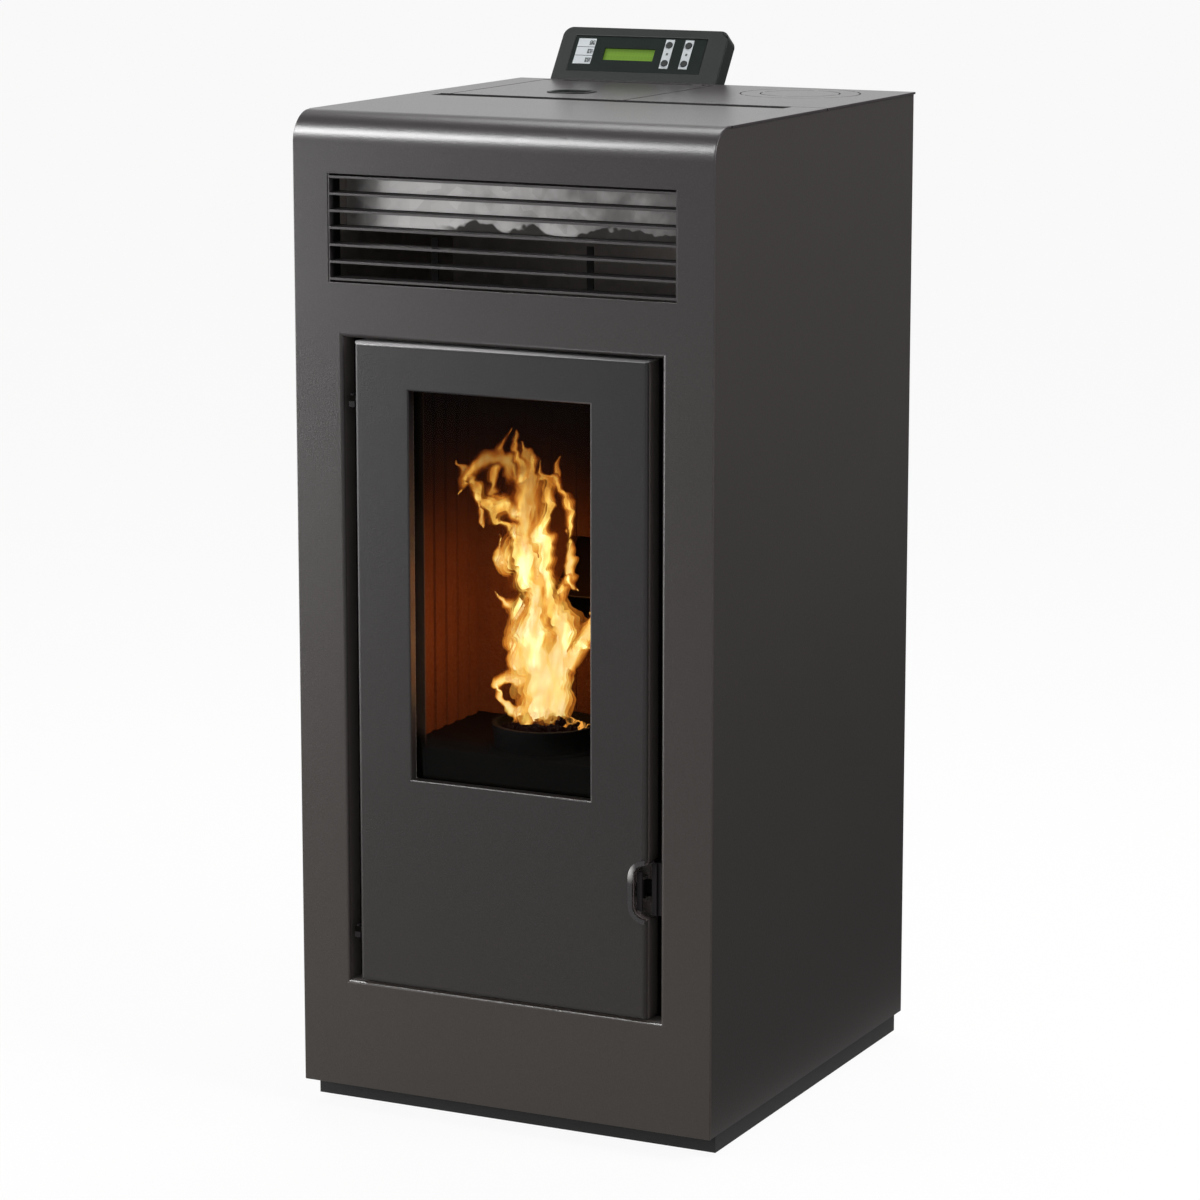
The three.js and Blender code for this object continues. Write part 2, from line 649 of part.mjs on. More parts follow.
function smokeDuct() {
  const near = firebox.back + gap;
  return block(40, 86, near, -10, 110, 878)
    .add(block(40, 86, -12, 105, 110, 188))
    .subtract(block(41.5, 84.5, near + 1.5, -11.5, 111.5, 876.5))
    .subtract(block(41.5, 84.5, -13, 103.5, 111.5, 186.5))
    .subtract(block(47, 80, near - 1, near + 3, 852, 874))
    .subtract(rod('x', [exhaust.y, exhaust.z], 80, 90, 33, 24));
}

function exhaustHousing() {
  const { y, z, scroll, wall } = exhaust;
  const [left, right] = [86.3, 150];
  return rod('x', [y, z], left, right, scroll, 32)
    .add(block(left, right, y, 150, 153, z + scroll))
    .add(block(100, 136, y - 30, y + 30, casingBottom, 90))
    .subtract(rod('x', [y, z], left + wall, right - wall, scroll - wall, 32))
    .subtract(block(left + wall, right - wall, y, 151, 155, z + scroll - wall))
    .subtract(rod('x', [y, z], left - 1, left + wall + 1, 33, 24))
    .subtract(rod('x', [y, z], right - wall - 1, right + 1, 6, 12));
}

// An open drum of blades between a disc and a ring, on a shaft that runs into its motor.
function bladeWheel(axisFrom, axisTo, r, blades, shaftFrom, shaftTo, shaftR) {
  const rim = rod('x', [0, 0], axisTo - 2, axisTo, r, 20)
    .subtract(rod('x', [0, 0], axisTo - 3, axisTo + 1, r - 12, 20));
  let wheel = rod('x', [0, 0], axisFrom, axisFrom + 2, r, 20)
    .add(rod('x', [0, 0], shaftFrom, shaftTo, shaftR, 10))
    .add(rod('x', [0, 0], axisFrom, axisFrom + 10, shaftR * 2.2, 10))
    .add(rim);
  for (let blade = 0; blade < blades; blade++) {
    const geometry = new THREE.BoxGeometry(axisTo - axisFrom - 1, 12, 1.6);
    geometry.rotateX(0.5);
    geometry.translate((axisFrom + axisTo) / 2, r - 7, 0);
    geometry.rotateX((blade * 2 * Math.PI) / blades);
    wheel = wheel.add(solid(geometry));
  }
  return wheel;
}

// The shaft's end is at the motor's side, so the disc faces it.
function exhaustWheel() {
  return bladeWheel(100, 136, exhaust.wheel, 8, 98, 162, 4);
}

function exhaustMotor() {
  const { y, z } = exhaust;
  return rod('x', [y, z], 150.3, 212, 36, 24)
    .subtract(rod('x', [y, z], 149, 166, 4.3, 12));
}

function flueSpigot() {
  const { x, pipeZ, pipe } = exhaust;
  const flange = pipe + 4;
  return block(x - flange, x + flange, 150.3, 153.3, pipeZ - flange, pipeZ + flange)
    .add(rod('y', [pipeZ, x], 152, rear + 56, pipe, 40))
    .subtract(rod('y', [pipeZ, x], 148, rear + 57, pipe - 2, 40));
}

function intakePipe() {
  const { x, z, r, wall } = intake;
  const near = firebox.back + gap;
  return rod('y', [z, x], near, rear + 50, r, 24)
    .add(rod('y', [z, x], near, near + 3, r + 9, 24))
    .subtract(rod('y', [z, x], near - 1, rear + 51, r - wall, 24));
}

function igniter() {
  return rod('y', [392, 0], pot.y + 47, -10, 4.5, 12)
    .add(rod('y', [392, 0], firebox.back + gap, -36, 10, 12));
}

// The scroll of the room air fan, with the flat riser up the firebox's back in one piece with it.
function roomFanHousing() {
  const { left, right, y, z } = roomFan;
  return rod('x', [y, z], left, right, 38, 28)
    .add(block(-162, -38, riser.front, y, 60, 114))
    .add(block(riser.left, riser.right, riser.front, riser.back, 100, duct.low - gap))
    .add(block(left + 20, left + 40, y - 20, y + 20, casingBottom, 50))
    .add(block(right - 30, right - 10, y - 20, y + 20, casingBottom, 50))
    .subtract(rod('x', [y, z], left + 1.5, right - 1.5, 36, 28))
    .subtract(block(-160.5, -39.5, riser.front + 1.5, y, 61.5, 112.5))
    .subtract(block(riser.left + 1.5, riser.right - 1.5, riser.front + 1.5, riser.back - 1.5, 100, duct.low))
    .subtract(block(left + 10, right - 10, y + 15, y + 45, 64, 92))
    .subtract(rod('x', [y, z], left - 1, left + 3, 5, 12));
}

function roomFanWheel() {
  const { left, right, wheel } = roomFan;
  return bladeWheel(left + 6, right - 6, wheel, 9, left - 14, left + 12, 3);
}

function roomFanMotor() {
  const { left, y, z } = roomFan;
  return rod('x', [y, z], left - 60, left - gap, 30, 20).subtract(rod('x', [y, z], left - 18, left, 3.3, 12));
}

const fireGroup = new THREE.Group();
stove.add(fireGroup);
piece('firebox_body', fireboxBody(), paint.black, fireGroup);
piece('left_liner', ribbedLiner(-1), paint.vermiculite, fireGroup);
piece('right_liner', ribbedLiner(1), paint.vermiculite, fireGroup);
piece('back_liner', backLiner(), paint.vermiculite, fireGroup);
piece('baffle_plate', block(-150, 150, firebox.front + 28, -52, chamber.high + gap, chamber.high + 9),
  paint.vermiculite, fireGroup);
piece('pot_cradle', potCradle(), paint.castIron, fireGroup);
piece('burn_pot', burnPot(), paint.castIron, fireGroup).position.set(0, pot.y, 0);
piece('ash_pan', ashPan(), paint.steel, fireGroup);
piece('igniter', igniter(), paint.steel, fireGroup);
piece('intake_pipe', intakePipe(), paint.black, fireGroup);
piece('smoke_duct', smokeDuct(), paint.galvanised, fireGroup);
piece('exhaust_fan_housing', exhaustHousing(), paint.black, fireGroup);
piece('exhaust_fan_wheel', exhaustWheel(), paint.steel, fireGroup).position.set(0, exhaust.y, exhaust.z);
piece('exhaust_fan_motor', exhaustMotor(), paint.black, fireGroup);
piece('flue_spigot', flueSpigot(), paint.galvanised, fireGroup);
piece('room_fan_housing', roomFanHousing(), paint.galvanised, fireGroup);
piece('room_fan_wheel', roomFanWheel(), paint.black, fireGroup).position.set(0, roomFan.y, roomFan.z);
piece('room_fan_motor', roomFanMotor(), paint.black, fireGroup);

piece('hopper', hopper(), paint.galvanised);
piece('auger_tube', augerTube(), paint.steel);
const augerGroup = new THREE.Group();
augerGroup.position.set(0, auger.y, auger.z);
augerGroup.rotation.x = auger.tilt;
stove.add(augerGroup);
piece('auger_screw', augerScrew(), paint.steel, augerGroup);
piece('auger_motor', augerMotor(), paint.black, augerGroup);

// ---------------------------------------------------------------- hopper lid

const pull = { x: -97, y: front + 366, halfX: 23, halfY: 20, r: 12, deep: 14 };

function pullOutline(grow) {
  return roundedOutline(pull.x - pull.halfX - grow, pull.x + pull.halfX + grow, pull.y - pull.halfY - grow,
    pull.y + pull.halfY + grow, pull.r + grow);
}

function hopperLid() {
  const near = topSeam + sheet;
  const skirt = height - lid.deep;
  let body = block(lid.left, lid.right, near, lid.back, skirt, height)
    .subtract(block(lid.left + 2, lid.right - 2, near + 2, lid.back - 2, skirt - 1, height - 2))
    .subtract(sweep('z', pullOutline(0), height - 5, height + 1, 4));
  for (const x of [lid.left + 12, lid.right - 24]) {
    body = body.add(block(x, x + 12, lid.back - 1, lidHinge.y, lidHinge.z - 2, lidHinge.z + 2))
      .add(rod('x', [lidHinge.y, lidHinge.z], x, x + 12, 2.8, 12))
      .subtract(rod('x', [lidHinge.y, lidHinge.z], x - 1, x + 13, lidHinge.hole, 10));
  }
  return body;
}

function lidPull() {
  return sweep('z', pullOutline(-gap), height - pull.deep, height + 1, 4)
    .add(sweep('z', pullOutline(3), height + gap, height + 1, 4))
    .subtract(sweep('z', pullOutline(-2), height - pull.deep + 1.5, height + 2, 4));
}

function lidSeal() {
  const [x0, x1] = [lid.left + 5, lid.right - 5];
  const [y0, y1] = [topSeam + sheet + 5, lid.back - 5];
  const top = height - 2 - gap;
  return block(x0, x1, y0, y1, top - 3, top).subtract(block(x0 + 8, x1 - 8, y0 + 8, y1 - 8, top - 4, top + 1));
}

const lidGroup = new THREE.Group();
stove.add(lidGroup);
piece('hopper_lid', hopperLid(), paint.casing, lidGroup);
piece('lid_pull', lidPull(), paint.plastic, lidGroup);
piece('lid_seal', lidSeal(), paint.rubber, lidGroup);

// ---------------------------------------------------------------- control panel

// The panel's own frame: x to the right, z up its sloping face, y into the panel.
const pocket = { left: -89.5, right: 81.5, low: 12.3, high: 60.3, deep: 17 };
const screen = { left: -48, right: 17.5, low: 28.5, high: 45 };
const buttons = { columns: [34, 59], rows: [51, 26.5], r: 4.2, travel: 1 };

function panelHousing() {
  const half = panelWidth / 2;
  const r = 12;
  const outline = new THREE.Shape();
  outline.moveTo(0, -half);
  outline.lineTo(panelSlope - r, -half);
  outline.absarc(panelSlope - r, r - half, r, -Math.PI / 2, 0, false);
  outline.absarc(panelSlope - r, half - r, r, 0, Math.PI / 2, false);
  outline.lineTo(0, half);
  return sweep('y', outline, 0, panelThick, 6)
    .subtract(block(pocket.left, pocket.right, -1, pocket.deep, pocket.low, pocket.high));
}

function panelFascia() {
  let plate = block(pocket.left + gap, pocket.right - gap, 1, 3, pocket.low + gap, pocket.high - gap)
    .subtract(block(screen.left, screen.right, 0, 4, screen.low, screen.high));
  for (const x of buttons.columns) {
    for (const z of buttons.rows) {
      plate = plate.subtract(rod('y', [z, x], 0, 4, buttons.r + gap, 14));
    }
  }
  return plate;
}

function panelDisplay() {
  return block(screen.left - 4, screen.right + 4, 3.3, 8.5, screen.low - 3, screen.high + 3);
}

function panelButton() {
  return rod('y', [0, 0], 0.2, 6, buttons.r, 14).add(rod('y', [0, 0], 3.4, 4.4, buttons.r + 1.2, 14));
}

// A folded strap from the back panel that carries the housing's lower edge.
function panelBracket() {
  const across = [Math.cos(panelLean), -Math.sin(panelLean)];
  const below = [-Math.sin(panelLean), -Math.cos(panelLean)];
  const at = (along, drop) => [
    rear + gap + across[0] * along + below[0] * drop,
    height + across[1] * along + below[1] * drop,
  ];
  const strap = 2;
  const outline = polygon([[rear + gap, 1040], [rear + gap + strap, 1040], at(3.6, gap + strap),
    at(21, gap + strap), at(21, gap), at(3, gap), [rear + gap, 1108]]);
  return sweep('x', outline, panelX - 70, panelX + 70);
}

const panelGroup = new THREE.Group();
panelGroup.position.set(panelX, rear + gap, height);
panelGroup.rotation.x = -panelLean;
stove.add(panelGroup);
piece('panel_housing', panelHousing(), paint.plastic, panelGroup);
piece('panel_fascia', panelFascia(), paint.plastic, panelGroup);
piece('panel_display', panelDisplay(), paint.display, panelGroup);
buttons.columns.forEach((x, column) => {
  buttons.rows.forEach((z, row) => {
    const name = `panel_button_${column * 2 + row + 1}`;
    piece(name, panelButton(), paint.rubber, panelGroup).position.set(x, 0, z);
  });
});
piece('panel_bracket', panelBracket(), paint.black);

// ---------------------------------------------------------------- electrics

const inlet = { left: -206, right: -134, low: 82, high: 118 };
const rocker = { x: -152, y: rear - 4, z: 100, halfX: 9, tilt: THREE.MathUtils.degToRad(8) };

function mainsInlet() {
  const { left, right, low, high } = inlet;
  const outerFace = rear + 1.8;
  let body = block(left + gap, right - gap, rear - 30, rear, low + gap, high - gap)
    .add(block(left - 6, right + 6, rear - 0.5 + gap, outerFace, low - 6, high + 6))
    .subtract(block(left + 6, left + 34, rear - 16, outerFace + 1, 90, 110))
    .subtract(block(rocker.x - 10, rocker.x + 10, rear - 22, outerFace + 1, 88, 112));
  for (const [x, z] of [[-193, 97], [-186, 103], [-179, 97]]) {
    body = body.add(block(x - 1.2, x + 1.2, rear - 17, rear - 4, z - 2, z + 2));
  }
  return body;
}

// A rocker drawn about its own pivot, tilted to its off position by its mesh.
function powerRocker() {
  const outline = polygon([[7, -10], [5.6, 0], [7, 10], [0, 9], [-6, 4], [-6, -4], [0, -9]]);
  return sweep('x', outline, -rocker.halfX, rocker.halfX);
}

// The main circuit board on four posts that stand on the right side panel.
function controlBoard() {
  const face = 239;
  const posts = [[-145, 485], [-15, 485], [-145, 695], [-15, 695]];
  let board = block(face, face + 1.6, -150, -10, 480, 700)
    .add(block(face - 22, face + 0.5, -130, -95, 500, 545))
    .add(block(face - 14, face + 0.5, -80, -45, 600, 660));
  for (const [y, z] of posts) {
    board = board.add(rod('x', [y, z], face, 247.3 - gap, 3, 8));
  }
  return board;
}

piece('mains_inlet', mainsInlet(), paint.plastic);
const rockerMesh = piece('power_rocker', powerRocker(), paint.plastic);
rockerMesh.position.set(rocker.x, rocker.y, rocker.z);
rockerMesh.rotation.x = rocker.tilt;
piece('control_board', controlBoard(), paint.board);

export default stove;
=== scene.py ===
import math
import random

import bmesh
import bpy
from mathutils import Matrix, Vector


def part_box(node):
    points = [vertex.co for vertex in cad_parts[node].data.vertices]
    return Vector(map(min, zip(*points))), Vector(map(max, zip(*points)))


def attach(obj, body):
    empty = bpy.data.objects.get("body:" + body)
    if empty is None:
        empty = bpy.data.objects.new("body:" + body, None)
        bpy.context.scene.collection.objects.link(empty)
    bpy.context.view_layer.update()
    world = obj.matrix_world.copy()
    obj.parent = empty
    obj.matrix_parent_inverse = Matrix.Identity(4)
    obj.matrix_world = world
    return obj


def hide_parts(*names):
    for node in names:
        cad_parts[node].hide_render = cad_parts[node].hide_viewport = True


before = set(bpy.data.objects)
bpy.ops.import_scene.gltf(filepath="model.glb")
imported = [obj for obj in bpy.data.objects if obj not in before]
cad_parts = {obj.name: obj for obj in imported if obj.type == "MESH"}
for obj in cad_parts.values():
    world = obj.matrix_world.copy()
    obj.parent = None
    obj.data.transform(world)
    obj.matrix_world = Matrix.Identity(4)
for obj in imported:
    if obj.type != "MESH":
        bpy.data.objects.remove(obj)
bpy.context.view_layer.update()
bpy.ops.object.select_all(action="DESELECT")

# ---------------------------------------------------------------------------------------------
# The studio: a pale seamless floor, soft boxes low on the left, high on the right and over the top,
# a strip and two black cards that only reflections see, and the camera where it stood for the
# photograph, right of the stove and above.

WHITE = (1.0, 1.0, 1.0, 1.0)
WORLD_FILL = 0.25
FLOOR_SIZE = 90.0
FLOOR_SINK = 0.0005
FLOOR_WHITE = 0.93
FLOOR_IN_GLOSS = 0.4
FLOOR_TONE = 0.36
FLOOR_TONE_SEEN = 0.90


class Wire:
    """A value on its way through a material. Arithmetic on it adds Math nodes."""

    def __init__(self, finish, socket):
        self.finish = finish
        self.socket = socket

    def maths(self, operation, *values):
        return self.finish.node("ShaderNodeMath", {"operation": operation}, dict(enumerate(values)))

    def __add__(self, other):
        return self.maths("ADD", self, other)

    def __radd__(self, other):
        return self.maths("ADD", other, self)

    def __sub__(self, other):
        return self.maths("SUBTRACT", self, other)

    def __rsub__(self, other):
        return self.maths("SUBTRACT", other, self)

    def __mul__(self, other):
        return self.maths("MULTIPLY", self, other)

    def __rmul__(self, other):
        return self.maths("MULTIPLY", other, self)

    def __truediv__(self, other):
        return self.maths("DIVIDE", self, other)

    def above(self, other):
        return self.maths("GREATER_THAN", self, other)

    def below(self, other):
        return self.maths("LESS_THAN", self, other)

    def most(self, other):
        return self.maths("MAXIMUM", self, other)

    def least(self, other):
        return self.maths("MINIMUM", self, other)

    def size(self):
        return self.maths("ABSOLUTE", self)

    def rest(self, step):
        return self.maths("FLOORED_MODULO", self, step)

    def wave(self):
        return self.maths("SINE", self)

    def fade(self, low, high):
        values = {"Value": self, "From Min": low, "From Max": high}
        return self.finish.node("ShaderNodeMapRange", {"interpolation_type": "SMOOTHSTEP"}, values)

    def within(self, centre, half):
        return (self - centre).size().below(half)


class Finish:
    """The nodes of one material, or of the world."""

    def __init__(self, owner):
        owner.use_nodes = True
        self.owner = owner
        self.tree = owner.node_tree
        self.tree.nodes.clear()

    def node(self, kind, settings=None, values=None, out=0):
        node = self.tree.nodes.new(kind)
        for name, value in (settings or {}).items():
            if name == "stops":
                self.fill_ramp(node.color_ramp, value)
            else:
                setattr(node, name, value)
        for name, value in (values or {}).items():
            if isinstance(value, Wire):
                self.tree.links.new(value.socket, node.inputs[name])
            else:
                node.inputs[name].default_value = value
        return Wire(self, node.outputs[out]) if node.outputs else node

    def fill_ramp(self, ramp, stops):
        while len(ramp.elements) < len(stops):
            ramp.elements.new(1.0)
        for element, (position, colour) in zip(ramp.elements, stops):
            element.position = position
            element.color = (*colour, 1.0)

    def place(self, centre=None, turn=(0.0, 0.0, 0.0), stretch=(1.0, 1.0, 1.0)):
        """Places on the piece, or in a frame of its own that is moved, turned and stretched."""
        place = self.node("ShaderNodeTexCoord", out="Object")
        if centre is None:
            return place
        values = {"Vector": place, "Location": centre, "Rotation": turn, "Scale": stretch}
        return self.node("ShaderNodeMapping", {"vector_type": "TEXTURE"}, values)

    def along(self, place):
        return [self.node("ShaderNodeSeparateXYZ", values={0: place}, out=axis) for axis in range(3)]

    def mix(self, share, first, second, blend="MIX"):
        settings = {"data_type": "RGBA", "blend_type": blend}
        first, second = [(*c, 1.0) if isinstance(c, tuple) and len(c) == 3 else c for c in (first, second)]
        return self.node("ShaderNodeMix", settings, {"Factor": share, 6: first, 7: second}, out=2)

    def speckle(self, place, scale, detail=2.0, roughness=0.5):
        values = {"Vector": place, "Scale": scale, "Detail": detail, "Roughness": roughness}
        return self.node("ShaderNodeTexNoise", values=values, out="Fac")

    def cells(self, place, scale, out="Distance"):
        return self.node("ShaderNodeTexVoronoi", values={"Vector": place, "Scale": scale}, out=out)

    def dim(self, colour, tone):
        """A colour, a constant or not, darkened or lightened by a tone that varies."""
        grey = self.node("ShaderNodeCombineColor", values={0: tone, 1: tone, 2: tone})
        return self.mix(1.0, colour, grey, "MULTIPLY")

    def bump(self, height, distance, strength=1.0):
        values = {"Height": height, "Distance": distance, "Strength": strength}
        return self.node("ShaderNodeBump", values=values)

    def seen_by(self, *rays):
        return [self.node("ShaderNodeLightPath", out=f"Is {ray} Ray") for ray in rays]

    def principled(self, **values):
        plain = {name.replace("_", " "): value for name, value in values.items()}
        if isinstance(plain.get("Base Color"), tuple):
            plain["Base Color"] = (*plain["Base Color"], 1.0)
        shader = self.node("ShaderNodeBsdfPrincipled", values=plain)
        self.node("ShaderNodeOutputMaterial", values={"Surface": shader})
        return self.owner


def new_finish(name):
    return Finish(bpy.data.materials.new(name))


def studio_world():
    world = bpy.data.worlds.new("studio")
    bpy.context.scene.world = world
    sky = Finish(world)
    camera_ray, glossy_ray, transmission_ray = sky.seen_by("Camera", "Glossy", "Transmission")
    height = sky.along(sky.node("ShaderNodeTexCoord", out="Generated"))[2]
    low_wall = 1.0 - height.fade(0.34, 0.60) * 0.85
    seen = camera_ray.most(transmission_ray).most(glossy_ray * low_wall)
    fill = sky.node("ShaderNodeBackground", values={"Color": (1.0, 0.99, 0.98, 1.0), "Strength": WORLD_FILL})
    white = sky.node("ShaderNodeBackground", values={"Color": WHITE, "Strength": 1.0})
    both = sky.node("ShaderNodeMixShader", values={0: seen, 1: fill, 2: white})
    sky.node("ShaderNodeOutputWorld", values={"Surface": both})


def studio_floor():
    bpy.ops.mesh.primitive_plane_add(size=FLOOR_SIZE, location=(0.0, 0.0, -FLOOR_SINK))
    floor = bpy.context.object
    floor.name = "studio_floor"
    paper = new_finish("studio_paper")
    camera_ray, glossy_ray, transmission_ray = paper.seen_by("Camera", "Glossy", "Transmission")
    seen = camera_ray.most(transmission_ray)
    tone = FLOOR_TONE + seen * (FLOOR_TONE_SEEN - FLOOR_TONE)
    grey = paper.node("ShaderNodeCombineColor", values={0: tone, 1: tone, 2: tone})
    lit = paper.node("ShaderNodeBsdfDiffuse", values={"Color": grey})
    white = paper.node("ShaderNodeEmission", values={"Color": WHITE, "Strength": 1.0})
    own_light = (seen * FLOOR_WHITE).most(glossy_ray * FLOOR_IN_GLOSS)
    surface = paper.node("ShaderNodeMixShader", values={0: own_light, 1: lit, 2: white})
    paper.node("ShaderNodeOutputMaterial", values={"Surface": surface})
    floor.data.materials.append(paper.owner)
    floor.select_set(False)


def black_card(name, place, width, height, turn):
    """A black card that only reflections see. It keeps the white room out of a glossy face."""
    bpy.ops.mesh.primitive_plane_add(size=1.0, location=place, rotation=turn)
    card = bpy.context.object
    card.name = name
    card.scale = (width, height, 1.0)
    felt = new_finish(name)
    fibre = felt.speckle(felt.place(), 200.0)
    felt.principled(Base_Color=felt.dim((0.02, 0.02, 0.02), fibre), Roughness=1.0)
    card.data.materials.append(felt.owner)
    card.visible_camera = False
    card.visible_diffuse = False
    card.visible_transmission = False
    card.visible_shadow = False
    card.select_set(False)


def soft_box(name, place, target, width, height, power):
    lamp = bpy.data.lights.new(name, "AREA")
    lamp.shape = "RECTANGLE"
    lamp.size = width
    lamp.size_y = height
    lamp.energy = power
    box = bpy.data.objects.new(name, lamp)
    bpy.context.scene.collection.objects.link(box)
    box.location = place
    box.rotation_euler = (Vector(target) - Vector(place)).to_track_quat("-Z", "Y").to_euler()
    box.visible_camera = False
    return box


studio_world()
studio_floor()
black_card("side_card", (1.75, 1.5, 0.85), 2.6, 1.7, (math.radians(90.0), 0.0, math.radians(-26.0)))
black_card("floor_card", (1.50, 0.85, 0.002), 2.44, 3.4, (0.0, 0.0, 0.0))
soft_box("key_box", (-2.3, -1.75, 0.62), (0.0, -0.1, 0.45), 1.6, 1.1, 48.0)
soft_box("fill_box", (3.2, -0.3, 2.4), (0.25, 0.0, 0.6), 1.8, 1.8, 115.0)
soft_box("top_box", (-0.3, 0.9, 3.4), (0.0, 0.0, 1.1), 2.0, 1.2, 50.0)
strip_box = soft_box("strip_box", (-1.35, -1.6, 2.35), (-0.1, -0.27, 1.09), 1.5, 0.5, 108.0)
strip_box.visible_diffuse = False

CAMERA_DIP = 11.177
CAMERA_TURN = 26.208
camera_data = bpy.data.cameras.new("camera")
camera_data.sensor_width = 36.0
camera_data.lens = 128.44
camera = bpy.data.objects.new("camera", camera_data)
bpy.context.scene.collection.objects.link(camera)
camera.location = (2.0821, -4.2854, 1.4856)
camera.rotation_euler = (math.radians(90.0 - CAMERA_DIP), 0.0, math.radians(CAMERA_TURN))
bpy.context.scene.camera = camera
bpy.context.scene.view_settings.view_transform = "Standard"

# ---------------------------------------------------------------------------------------------
# The casing: front, sides, top and lid are 2.5 mm sheet, bent and powder coated in a dark warm
# grey. The coat leaves a close pebbled skin with fine metallic flake. The cut edges of the front, the
# grille, the top and the lid are eased by a fine round, so a copy of each CAD solid is merged, beveled
# and shaded smooth.

CASING_TOP = 1.11
CASING_DEPTH = 0.54
CASING_HALF = 0.25


def grained_paint(name, top, foot, roughness, grain, gloss=0.5, patches=()):
    """Powder coat from a foot colour on the floor to a top colour, a change that is painted light and
    shade. Each patch on it is a colour, how metallic it is and a function that gives its mask from x,
    y and z."""
    paint = new_finish(name)
    place = paint.place()
    x, y, height = paint.along(place)
    fine = paint.speckle(place, 520.0, 2.0, 0.65)
    cloudy = paint.speckle(place, 4.0, 3.0)
    flake = paint.speckle(place, 1300.0, 1.0)
    tone = 0.80 + fine * 0.40 + (cloudy - 0.5) * 0.14
    base = paint.mix((height / CASING_TOP).least(1.0), foot, top)
    bright = paint.mix(flake.fade(0.60, 0.72) * 0.5, paint.dim(base, tone), tuple(c * 2.1 for c in top))
    dull = roughness + (fine - 0.5) * 0.14
    steel = 0.0
    for colour, metallic, mask in patches:
        share = mask(x, y, height)
        bright = paint.mix(share, bright, colour)
        dull = dull.most(share)
        steel = share * metallic + steel
    skin = paint.bump(fine * 0.75 + flake * 0.25, grain)
    return paint.principled(
        Base_Color=bright, Metallic=steel, Roughness=dull, Specular_IOR_Level=gloss, Normal=skin)


def coat(material, *nodes):
    for name in nodes:
        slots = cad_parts[name].data.materials
        slots.clear()
        slots.append(material)


def active(piece):
    bpy.ops.object.select_all(action="DESELECT")
    bpy.context.view_layer.objects.active = piece
    piece.select_set(True)


def apply_modifiers(piece):
    active(piece)
    for modifier in list(piece.modifiers):
        bpy.ops.object.modifier_apply(modifier=modifier.name)


def finished(piece, name, body, material, angle=35.0):
    """Shades a piece smooth up to an angle, names it, coats it and puts it on its body."""
    active(piece)
    bpy.ops.object.transform_apply(location=True, rotation=True, scale=True)
    bpy.ops.object.shade_smooth_by_angle(angle=math.radians(angle))
    piece.name = name
    piece.data.name = name
    piece.data.materials.clear()
    piece.data.materials.append(material)
    piece.select_set(False)
    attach(piece, body)
    return piece


def straighten_normals(mesh, limit):
    """Sets a corner's normal square to its face where it leans away by more than limit."""
    normals = [corner.vector.copy() for corner in mesh.corner_normals]
    for face in mesh.polygons:
        for corner in face.loop_indices:
            if normals[corner].angle(face.normal, 0.0) > limit:
                normals[corner] = face.normal.copy()
    mesh.normals_split_custom_set(normals)


def eased(node, name, body, material, edge=0.0005, segments=2, angle=35.0, rounded=None,
          radius=0.0):
    """A copy of a CAD solid with its edges rounded by edge, in metres. It stands for the node.
    The edges that rounded() picks by their two ends are rounded first, by a larger radius."""
    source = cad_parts[node]
    piece = bpy.data.objects.new(name, source.data.copy())
    bpy.context.scene.collection.objects.link(piece)
    active(piece)
    bpy.ops.object.mode_set(mode="EDIT")
    bpy.ops.mesh.select_all(action="SELECT")
    bpy.ops.mesh.remove_doubles(threshold=0.00001)
    bpy.ops.mesh.dissolve_limited(angle_limit=math.radians(1.0))
    if rounded:
        bpy.ops.mesh.select_all(action="DESELECT")
        bpy.ops.mesh.select_mode(type="EDGE")
        mesh = bmesh.from_edit_mesh(piece.data)
        for line in mesh.edges:
            if rounded(*[end.co for end in line.verts]):
                line.select_set(True)
        bmesh.update_edit_mesh(piece.data)
        bpy.ops.mesh.bevel(offset=radius, segments=4, affect="EDGES", clamp_overlap=True)
    bpy.ops.object.mode_set(mode="OBJECT")
    bevel = piece.modifiers.new("eased_edges", "BEVEL")
    bevel.width = edge
    bevel.segments = segments
    bevel.limit_method = "ANGLE"
    bevel.angle_limit = math.radians(angle)
    bevel.use_clamp_overlap = True
    apply_modifiers(piece)
    finished(piece, name, body, material, angle)
    flat = piece.modifiers.new("flat_faces", "WEIGHTED_NORMAL")
    flat.keep_sharp = True
    apply_modifiers(piece)
    piece.select_set(False)
    straighten_normals(piece.data, math.radians(angle))
    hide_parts(node)
    return piece


front_low, front_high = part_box("front_panel")
lid_low, lid_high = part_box("hopper_lid")
TOP_ROUND = 0.035
TOUCHING = 0.0001
AIR_SLOT_X = -0.006
AIR_SLOT_HALF = 0.216
DOOR_OPENING_HALF = 0.1915
DOOR_OPENING_Z = 0.51
DOOR_OPENING_HALF_HEIGHT = 0.3615
# Near black, for the painted shadow and painted shade patches below.
PAINTED_SHADE_BLACK = (0.006, 0.0055, 0.005)
# A paler colour for painted light on the shaded walls of the gaps round the door.
PAINTED_GAP_LIGHT = (0.120, 0.105, 0.098)
COAT_GRAIN = 0.0002


def slot_painted_shadow(x, y, z):
    """Painted shadow: near-black steel along the slot in front of the lid, where the shade of the slot
    falls.
    """
    along = y.within(lid_low.y - 0.0145, 0.0125) * x.within(AIR_SLOT_X, AIR_SLOT_HALF)
    return along * z.above(front_high.z - 0.004)


def opening_painted_light(x, y, z):
    """Painted light: a paler colour on the inner walls of the opening that the door closes, which lifts the
    shade in the gap.
    """
    across = x.within(0.0, DOOR_OPENING_HALF) * z.within(DOOR_OPENING_Z, DOOR_OPENING_HALF_HEIGHT)
    return y.above(front_low.y + 0.0032) * across


def slat_painted_shade(x, y, z):
    """Painted shade: the slats of the grille and what stands behind them go near black from their front edge
    back.
    """
    return y.fade(front_low.y + 0.002, front_low.y + 0.013) * 0.9


